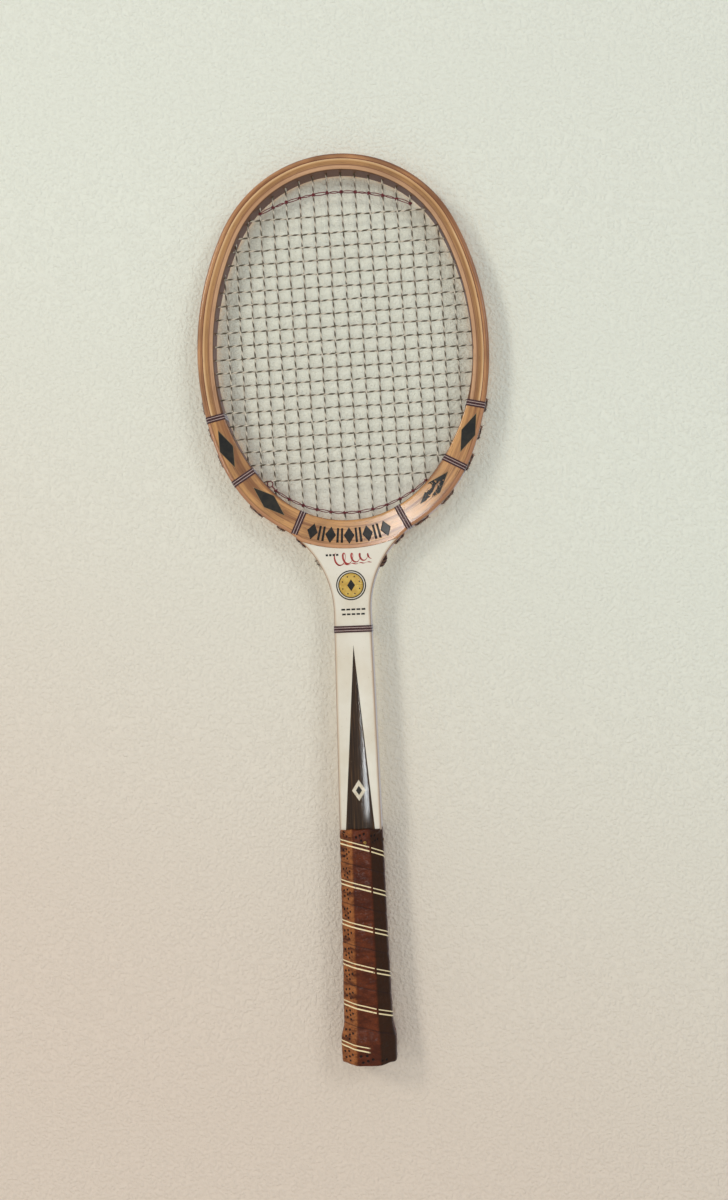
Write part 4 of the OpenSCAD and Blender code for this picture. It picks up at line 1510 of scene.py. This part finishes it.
def end_eye(tubes, x, z):
    """The small eye above the lower cord's first knot, and the link that holds it."""
    angle = np.linspace(0, TAU, 22, endpoint=False)
    across, rise = 2.1 * MM * np.cos(angle), 2.3 * MM * np.sin(angle)
    depth = -1.2 * MM + 0.4 * MM * np.sin(2 * angle)
    tubes.add(np.stack([x - 4.0 * MM + across, depth, z + 5.2 * MM + rise], 1), 0.46 * MM, 8, closed=True)
    steps = [(0, -1, 0), (-1.2, -1.6, 1.8), (-2.6, -1.4, 3.4)]
    link = [np.array([x, 0, z]) + np.array(step) * MM for step in steps]
    tubes.add(curve_through(link, 5), 0.5 * MM, 8)


# ---------------------------------------------------------------- the grip

WINDING = 30.2 * MM
STRIP = 29.1 * MM
PHASE = 0.5672
COLUMNS = 216
GIRTH = 109 * MM
# Half of the shaft's width and depth where the leather ends on it
SHAFT_END_X = 15.9 * MM
SHAFT_END_Y = 10.02 * MM
GRIP_Z = np.array([0, 19, 28, 90, 175.6]) * MM
GRIP_A = np.array([20.6, 20.8, 18.5, 17.1, 16.2]) * MM
GRIP_B = np.array([18.2, 18.4, 16.4, 15.6, 13.4]) * MM
BEVEL = 0.54
HOLE_CLUSTER = [(-3.6, 1.9), (-2.6, -2.3), (0.0, 3.1), (0.5, -0.2), (1.2, -3.3), (3.5, 1.5)]


def octagon(a, b, p):
    """Points of the grip's section at parts p of its girth, from the back's middle by the left."""
    c = BEVEL * a
    corners = [(0, b), (c - a, b), (-a, b - c), (-a, c - b), (c - a, -b)]
    corners = np.array(corners + [(-x, y) for x, y in [(0, -b)] + corners[:0:-1]] + [(0, b)])
    steps = np.linalg.norm(np.diff(corners, axis=0), axis=1)
    at = np.concatenate([[0], np.cumsum(steps)])
    s = (p % 1) * at[-1]
    return np.stack([np.interp(s, at, corners[:, 0]), np.interp(s, at, corners[:, 1])], -1)


def soft_section(z, p):
    """The section at a height with its corners and its flare rounded off."""
    total = np.zeros((len(p), 2))
    spread = np.linspace(-1, 1, 9)
    for rise in (-1.6 * MM, 0, 1.6 * MM):
        a = np.interp(z + rise, GRIP_Z, GRIP_A)
        b = np.interp(z + rise, GRIP_Z, GRIP_B)
        for s in spread:
            total += octagon(a, b, p + s * 0.016)
    return total / 27


# Parts of the girth at the facets' corners, and how far the strip has wound on by then
GIRTH_AT = [0, 0.308, 0.428, 0.572, 0.692, 1]
WOUND_AT = [0.075, 0.415, 0.449, 0.585, 0.736, 1.075]


def wound_part(p):
    """How far round a winding has come at part p of the girth: its slope differs by facet."""
    return np.interp(p, GIRTH_AT, WOUND_AT)


def grip_holes():
    """Centres of the small round holes, as part of the girth and height."""
    centres = []
    for turn in range(-1, 8):
        for k in range(8):
            mid = (k - 0.06) / 8
            for row in (-1, 1):
                for along, aside in HOLE_CLUSTER:
                    p = (mid + (along + 0.3 * chance.uniform(-1, 1)) * MM / GIRTH) % 1
                    across = row * 7.7 + aside + 0.25 * chance.uniform(-1, 1)
                    z = WINDING * (turn + 0.5 + across * MM / STRIP - PHASE - wound_part(p))
                    if 1.5 * MM < z < GRIP_TOP - 1.5 * MM:
                        centres.append((p, z))
    return centres


def unevenness(rows_z, p):
    """How far the leather's outer face sinks at each height and part of the girth, and its pits."""
    row, column = rows_z[:, None], p[None, :]
    phase = wound_part(p) + row / WINDING + PHASE
    seam = (phase - np.round(phase)) * STRIP
    sink = 0.3 * MM * np.exp(-((seam / (0.5 * MM)) ** 2))
    sink = sink + 0.12 * MM * np.exp(-np.abs(seam) / (2.5 * MM)) * (seam > 0)
    pit = np.zeros_like(sink)
    for hole_p, hole_z in grip_holes():
        dp = (p - hole_p + 0.5) % 1 - 0.5
        near = np.abs(rows_z - hole_z) < 1.2 * MM
        span = np.hypot(dp[None, :] * GIRTH, rows_z[near][:, None] - hole_z)
        pit[near] = np.maximum(pit[near], np.clip(2.0 - span / (0.62 * MM), 0, 1))
    # The holes have worn away on the facet in front, but for both ends
    worn = smooth_step((p - GIRTH_AT[2]) / 0.02) * (1 - smooth_step((p - GIRTH_AT[4]) / 0.03))
    pit *= np.maximum((1 - 0.8 * worn)[None, :], (row < 12 * MM) | (row > 166 * MM))
    creases = ripple(31, on_tube(rows_z, p), 7 * MM, 0.09 * MM)
    creases = creases + ripple(32, on_tube(rows_z, p) * [1, 1, 2.2], 2.6 * MM, 0.05 * MM)
    slit = np.exp(-(((column - GIRTH_AT[2] - 0.012) * GIRTH / (0.45 * MM)) ** 2))
    slit = slit * (1 - smooth_step((row - 8 * MM) / (2 * MM)))
    return sink + 0.5 * MM * pit + creases + drop(rows_z, 1.2 * MM)[:, None] + 0.4 * MM * slit, pit


def on_tube(rows_z, p):
    """The grip's grid laid on a plain tube, so that ripples over it close round the girth."""
    row = rows_z[:, None]
    x, y = np.cos(TAU * p) * 17 * MM, np.sin(TAU * p) * 17 * MM
    return np.stack([x + 0 * row, y + 0 * row, row + 0 * p], -1)


def heights_of(rows_z, p):
    """Heights of the grid, with an uneven upper and lower edge."""
    row = rows_z[:, None]
    tube = on_tube(rows_z, p)
    bulge = 0.9 * MM * np.exp(-(((p - 0.68) / 0.02) ** 2))
    top_z = GRIP_TOP + 0.25 * MM + ripple(33, tube[-1], 11 * MM, 0.35 * MM) + bulge
    low = np.maximum(ripple(34, tube[0], 9 * MM, 0.3 * MM) + 0.35 * MM, 0.05 * MM)
    height = row + smooth_step((row - 166 * MM) / (9 * MM)) * (top_z - rows_z[-1])
    return height + (1 - smooth_step(row / (6 * MM))) * low


def clipped(points, half_x, half_y):
    return np.stack([np.clip(points[:, 0], -half_x, half_x), np.clip(points[:, 1], -half_y, half_y)], -1)


def build_grip():
    p = np.arange(COLUMNS) / COLUMNS
    foot = [0.0, 0.25, 0.6, 1.0]
    rows_z = np.concatenate([foot, np.arange(1.5, 172.1, 0.5), np.arange(172.5, 175.1, 0.5)]) * MM
    outer = np.array([soft_section(z, p) for z in rows_z])
    tangent = np.roll(outer, -1, 1) - np.roll(outer, 1, 1)
    normal = np.stack([-tangent[..., 1], tangent[..., 0]], -1)
    normal /= np.linalg.norm(normal, axis=-1)[..., None]
    normal *= np.sign((normal * outer).sum(-1))[..., None]
    sink, pit = unevenness(rows_z, p)
    plan = outer - normal * sink[..., None]
    # The upper end covers the corners of the shaft
    wrap = smooth_step((rows_z - 171 * MM) / (3.5 * MM))[:, None]
    beyond = np.minimum(np.abs(plan[..., 0]) - 7.5 * MM, np.abs(plan[..., 1]) - 4.7 * MM)
    plan = plan * (1 + 0.19 * wrap * np.clip(beyond / (4.2 * MM), 0, 1))[..., None]
    height = heights_of(rows_z, p)
    points = list(np.concatenate([plan, height[..., None]], -1))
    # It turns in over the shaft and comes back down inside
    edge = points[-1]
    goal = clipped(edge, SHAFT_END_X + 0.05 * MM, SHAFT_END_Y + 0.03 * MM)
    for part, rise in ((0.12, 0.3), (0.35, 0.42), (0.75, 0.42), (1.0, 0.3)):
        flat = edge[:, :2] + (goal - edge[:, :2]) * part
        points.append(np.concatenate([flat, (edge[:, 2] + rise * MM)[:, None]], 1))
    for z in np.array([175.64, 170, 90, 28, 19, 0.6]) * MM:
        inside = soft_section(min(z, 172 * MM), p)
        inside = inside * (1 - 1.42 * MM / np.linalg.norm(inside, axis=1))[:, None]
        if z > 175 * MM:
            inside = clipped(inside, SHAFT_END_X, SHAFT_END_Y)
        points.append(np.concatenate([inside, np.full((COLUMNS, 1), z)], 1))
    rows = np.array(points)
    obj = swept("grip_wrap", rows, True)
    fill_uv(obj, wound_part(p))
    marks = np.zeros(rows.shape[:2])
    marks[: len(rows_z)] = pit
    set_attribute(obj.data, "pit", marks)
    corner = np.abs((p - GIRTH_AT[3]) * GIRTH) / (0.8 * MM)
    set_attribute(obj.data, "corner", np.broadcast_to(np.clip(1.6 - corner, 0, 1), rows.shape[:2]))
    recalculate(obj)
    set_smooth(obj.data, 70)
    finish_piece(obj, ["leather_grip"], [leather_paint()])


def fill_uv(obj, winding):
    """Unrolls the grip: u is the part of a winding and v the height in windings."""
    mesh = obj.data
    layer = mesh.uv_layers.new(name="unrolled")
    index = np.zeros(len(mesh.loops), np.int64)
    mesh.loops.foreach_get("vertex_index", index)
    u = winding[index % COLUMNS].reshape(-1, 4)
    crossing = (u.max(1) - u.min(1)) > 0.5
    u[crossing] = np.where(u[crossing] < 0.5, u[crossing] + 1, u[crossing])
    v = coordinates(mesh)[index, 2] / WINDING
    layer.data.foreach_set("uv", np.stack([u.ravel(), v], 1).ravel())


def leather_paint():
    """Dark wound leather with a pair of gold lines along the strip, creased and worn, with painted light on
    its front-left bevel and painted shade on its front-right bevel and in its holes.
    """
    paint = Paint("leather", coat=0.1, coat_roughness=0.16)
    paint.shader.inputs["Specular IOR Level"].default_value = 0.1
    unrolled = paint.node("ShaderNodeUVMap", uv_map="unrolled")
    split = paint.node("ShaderNodeSeparateXYZ", {"Vector": unrolled.outputs["UV"]})
    u, v = split.outputs[0], split.outputs[1]
    phase = paint.math("FRACT", paint.plus(paint.plus(u, v), PHASE))
    across = paint.times(paint.plus(phase, -0.5), STRIP / MM)
    point, x, y, z = paint.place()
    fine = paint.noise(point, 900, 3, rough=0.6)
    cloud = paint.noise(paint.vector(x, y, paint.times(z, 2.2)), 110, 5, rough=0.62)
    broad = paint.noise(point, 38, 3)
    squashed = paint.vector(x, y, paint.times(z, 1.8))
    crease = paint.node("ShaderNodeTexVoronoi", {"Vector": squashed}, feature="DISTANCE_TO_EDGE")
    crease.inputs["Scale"].default_value = 520
    crack = paint.ramp(crease.outputs["Distance"], 0.16, 0.02)
    base = paint.mix(paint.ramp(cloud, 0.34, 0.66), (78, 33, 14), (108, 50, 24))
    base = paint.over(base, paint.ramp(broad, 0.45, 0.7), 0.6, (66, 28, 17))
    # Painted light, partly wear: the front-left bevel is painted lighter and more orange in mottled patches,
    # where the light from the left falls.
    lit = paint.times(paint.ramp(u, 0.38, 0.42), paint.ramp(u, 0.465, 0.445))
    worn = paint.times(lit, paint.ramp(cloud, 0.3, 0.62))
    base = paint.over(base, worn, 0.8, (182, 112, 60))
    # Painted shade: the front-right bevel is painted darker.
    shade = paint.times(paint.ramp(u, 0.575, 0.6), paint.ramp(u, 0.8, 0.74))
    base = paint.over(base, shade, 0.85, (46, 28, 10))
    base = paint.over(base, crack, 0.35, (50, 25, 17))
    seam = paint.math("ABSOLUTE", paint.times(paint.plus(phase, -0.5), 2))
    base = paint.over(base, paint.ramp(seam, 0.955, 0.99), 0.6, (44, 21, 15))
    upper = paint.ramp(paint.math("ABSOLUTE", paint.plus(across, -1.47)), 0.5, 0.28)
    lower = paint.ramp(paint.math("ABSOLUTE", paint.plus(across, 1.47)), 0.62, 0.4)
    gold = paint.math("MAXIMUM", upper, lower)
    chips = paint.ramp(paint.noise(point, 650, 3, rough=0.7), 0.72, 0.6)
    corner = paint.ramp(paint.attribute("corner"), 0.7, 0.3)
    foot = paint.math("MAXIMUM", paint.ramp(v, 0.6, 0.7), paint.ramp(u, 0.535, 0.515))
    gold = paint.times(paint.times(gold, chips), paint.times(corner, foot))
    base = paint.mix(gold, base, (250, 228, 178))
    # Painted shade: the grip's holes are painted near black.
    pit = paint.ramp(paint.attribute("pit"), 0.25, 0.75)
    base = paint.mix(pit, base, (24, 13, 9))
    paint.colour(base)
    paint.roughness(cloud, 0.3, 0.5)
    relief = paint.plus(paint.times(fine, 0.35), paint.times(cloud, 0.9))
    relief = paint.plus(relief, paint.times(crack, -0.5))
    paint.bump(paint.plus(relief, paint.times(gold, -0.4)), 0.16 * MM, 0.6)
    return paint.material


# ---------------------------------------------------------------- butt, tacks and hidden wood


# Part of the section's size and height in mm along the board at the butt, from its middle
BOARD_PROFILE = [(0.05, 0.35), (0.5, 0.35), (0.9, 0.3), (0.965, 0.36), (0.99, 0.7)]
BOARD_PROFILE += [(1, 1.2), (1, 2.98), (0.5, 2.98), (0.05, 2.98)]


def build_butt():
    p = np.arange(120) / 120
    base = soft_section(2 * MM, p)
    base = base * (1 - 1.45 * MM / np.linalg.norm(base, axis=1))[:, None]
    rows = []
    for scale, z in BOARD_PROFILE:
        wave = ripple(41, base, 8 * MM, 0.1 * MM) * (z < 1)
        rows.append(np.concatenate([base * scale, (z * MM + wave)[:, None]], 1))
    obj = swept("butt_board", np.array(rows))
    recalculate(obj)
    cap_leather = plain("cap_leather", (84, 48, 30), (52, 30, 20), 190, 0.55, 0.15, 0.2)
    finish_piece(obj, ["butt_cap"], [cap_leather])

    brass = plain("brass", (176, 138, 72), (110, 82, 46), 700, 0.34, 0, 0.05, 1.0)
    heads = []
    for turn in (90, 210, 330):
        a = math.radians(turn)
        heads.append(domed(11 * MM * math.cos(a), 11 * MM * math.sin(a), 2.2 * MM, 0.75 * MM))
    obj = gather("butt_tack_heads", heads)
    finish_piece(obj, ["butt_tacks"], [brass])

    right, out, up = np.moveaxis(domed(0, 0, 1.3 * MM, 0.5 * MM), -1, 0)[[0, 2, 1]]
    low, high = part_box("grip_tacks")
    z = up + (low.z + high.z) / 2
    front = np.stack([right + 3.2 * MM, out - 14.3 * MM, z], -1)
    beside = np.stack([16.95 * MM - out, right, z], -1)
    obj = gather("grip_tack_heads", [front, beside])
    finish_piece(obj, ["grip_tacks"], [brass])


def domed(x, y, r, rise):
    """Rings of a round head seen from below, with a short stem behind it."""
    a = TAU * np.arange(28) / 28
    rows = []
    for part in (0.05, 0.4, 0.7, 0.9, 1.0):
        rows.append((part * r, rise * (1 - math.sqrt(1 - 0.96 * part**2))))
    rows += [(0.96 * r, rise), (0.3 * r, rise), (0.3 * r, 2.4 * MM), (0.02 * r, 2.4 * MM)]
    return np.array([np.stack([x + s * np.cos(a), y + s * np.sin(a), np.full(28, h)], -1) for s, h in rows])


def gather(name, grids):
    """One mesh of several solids, each given as rows of closed sections."""
    verts, faces, base = [], [], 0
    for rows in grids:
        n, m = rows.shape[:2]
        verts.append(rows.reshape(-1, 3))
        faces += tube_faces(n, m, False, base)
        base += n * m
    obj = mesh_object(name, np.concatenate(verts), faces)
    recalculate(obj)
    return obj


def paint_frame_nodes():
    """The wood inside keeps its CAD shape and gets grain of its own."""
    straight = {"space": straight_space}
    core = wood("core_wood", (206, 158, 104), (170, 118, 70), blotch=0.3, **straight)
    pale = (212, 172, 120), (178, 130, 82)
    handle = wood("handle_wood", *pale, blotch=0.2, coat=0.1, rough=0.55, **straight)
    for name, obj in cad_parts.items():
        paint = handle if name.startswith(("handle", "butt_flare")) else core
        obj.data.materials.clear()
        obj.data.materials.append(paint)


# ---------------------------------------------------------------- stage, light and camera


def wall_paint():
    """Pale painted wall with a fine stipple. Its back lets the view from behind through."""
    paint = Paint("wall", roughness=0.85)
    point, x, _, z = paint.place()
    stipple = paint.noise(point, 400, 2, rough=0.5)
    swirl = paint.noise(point, 60, 2)
    height = paint.plus(paint.ramp(stipple, 0.35, 0.72), paint.times(swirl, 0.5))
    # Painted shading: the wall is painted darker and warmer towards the lower left.
    slope = paint.plus(z, paint.times(x, 0.55))
    tone = paint.mix(paint.ramp(slope, -0.15, 0.6), (229, 211, 192), (237, 236, 219))
    paint.colour(paint.over(tone, paint.ramp(stipple, 0.5, 0.75), 0.12, (198, 190, 174)))
    paint.bump(height, 0.8 * MM, 0.7)
    clear = paint.node("ShaderNodeBsdfTransparent")
    behind = paint.node("ShaderNodeNewGeometry").outputs["Backfacing"]
    choose = paint.node("ShaderNodeMixShader", {0: behind, 1: paint.shader.outputs[0], 2: clear.outputs[0]})
    paint.set(paint.tree.nodes["Material Output"].inputs["Surface"], choose.outputs[0])
    return paint.material


def panel(name, centre, target, size, watts, colour):
    light = bpy.data.lights.new(name, "AREA")
    light.shape = "RECTANGLE"
    light.size, light.size_y = size
    light.energy = watts
    light.color = colour
    obj = bpy.data.objects.new(name, light)
    obj.location = centre
    obj.rotation_euler = (Vector(target) - Vector(centre)).to_track_quat("-Z", "Y").to_euler()
    bpy.context.scene.collection.objects.link(obj)
    return obj


# How far behind the racket's middle plane the wall stands, and the wall's and floor's places
WALL_AT_BUTT = 19.3 * MM
WALL_AT_HEAD = 10.7 * MM
WALL_X = 1.6
WALL_LOW_Z = -0.9
WALL_HIGH_Z = 1.7
FLOOR_Z = -0.5


def build_stage():
    # The thick butt and the thin head both lean on the wall, so it tilts against the racket
    tilt = (WALL_AT_HEAD - WALL_AT_BUTT) / LENGTH
    ends = [(WALL_AT_BUTT + tilt * z, z) for z in (WALL_LOW_Z, WALL_HIGH_Z)]
    corners = [(-WALL_X, *ends[0]), (WALL_X, *ends[0]), (WALL_X, *ends[1]), (-WALL_X, *ends[1])]
    wall = mesh_object("wall", corners, [(0, 1, 2, 3)])
    wall.data.materials.append(wall_paint())
    for flag in ("visible_diffuse", "visible_glossy", "visible_transmission", "visible_shadow"):
        setattr(wall, flag, False)
    corners = [(x, y, FLOOR_Z) for x, y in ((-4, -4), (4, -4), (4, 4), (-4, 4))]
    floor = mesh_object("floor", corners, [(0, 1, 2, 3)])
    floor.data.materials.append(plain("floor_pale", (214, 208, 198), (206, 200, 190), 6, 0.8))
    key = panel("key", (-1.2, -1.6, 0.36), (0, 0, 0.33), (0.28, 0.32), 3.4, (1.0, 0.96, 0.9))
    fill = panel("fill", (-1.75, -2.1, 1.6), (0, 0, 0.3), (0.6, 0.6), 17.5, (1.0, 0.955, 0.87))
    side = panel("side", (1.7, -2.3, 1.5), (0, 0, 0.3), (0.9, 0.9), 15, (0.9, 0.96, 1.0))
    glint = panel("glint", (-0.02, -2.0, 0.04), (0, 0, 0.2), (0.035, 0.32), 2.2, (0.95, 0.99, 1.0))
    lamp = panel("lamp", (-0.02, -2.2, 0.52), (0, 0, 0.4), (0.12, 0.1), 0.95, (1.0, 0.99, 0.97))
    back = panel("back", (0.3, 1.3, 1.5), (0, 0, 0.35), (0.9, 0.9), 24, (1.0, 0.98, 0.95))
    back.visible_glossy = False
    world = bpy.data.worlds.new("room")
    world.use_nodes = True
    air = world.node_tree.nodes["Background"].inputs
    air["Color"].default_value = tint((227, 236, 248))
    air["Strength"].default_value = 0.63
    bpy.context.scene.world = world
    bpy.context.scene.view_settings.view_transform = "Standard"


def place_camera():
    """Level view of the front from a little to its right, turned so that the head leans left."""
    azimuth, roll, distance = math.radians(3.5), math.radians(2.2), 1.047
    target = Vector((8.7 * MM, 0, 348.5 * MM))
    away = Vector((math.sin(azimuth), -math.cos(azimuth), 0))
    right0 = Vector((math.cos(azimuth), math.sin(azimuth), 0))
    up0 = Vector((0, 0, 1))
    right = math.cos(roll) * right0 - math.sin(roll) * up0
    up = math.sin(roll) * right0 + math.cos(roll) * up0
    camera = bpy.data.cameras.new("camera")
    camera.lens = 41.37
    camera.sensor_width = 36
    camera.sensor_fit = "AUTO"
    obj = bpy.data.objects.new("camera", camera)
    matrix = Matrix((right, up, away)).transposed().to_4x4()
    matrix.translation = target + away * distance
    obj.matrix_world = matrix
    bpy.context.scene.collection.objects.link(obj)
    bpy.context.scene.camera = obj


build_bow()
build_overlays()
build_shaft_faces()
build_diamonds()
build_prints()
build_whippings()
build_strings()
build_trebling()
build_grip()
build_butt()
paint_frame_nodes()
build_stage()
place_camera()
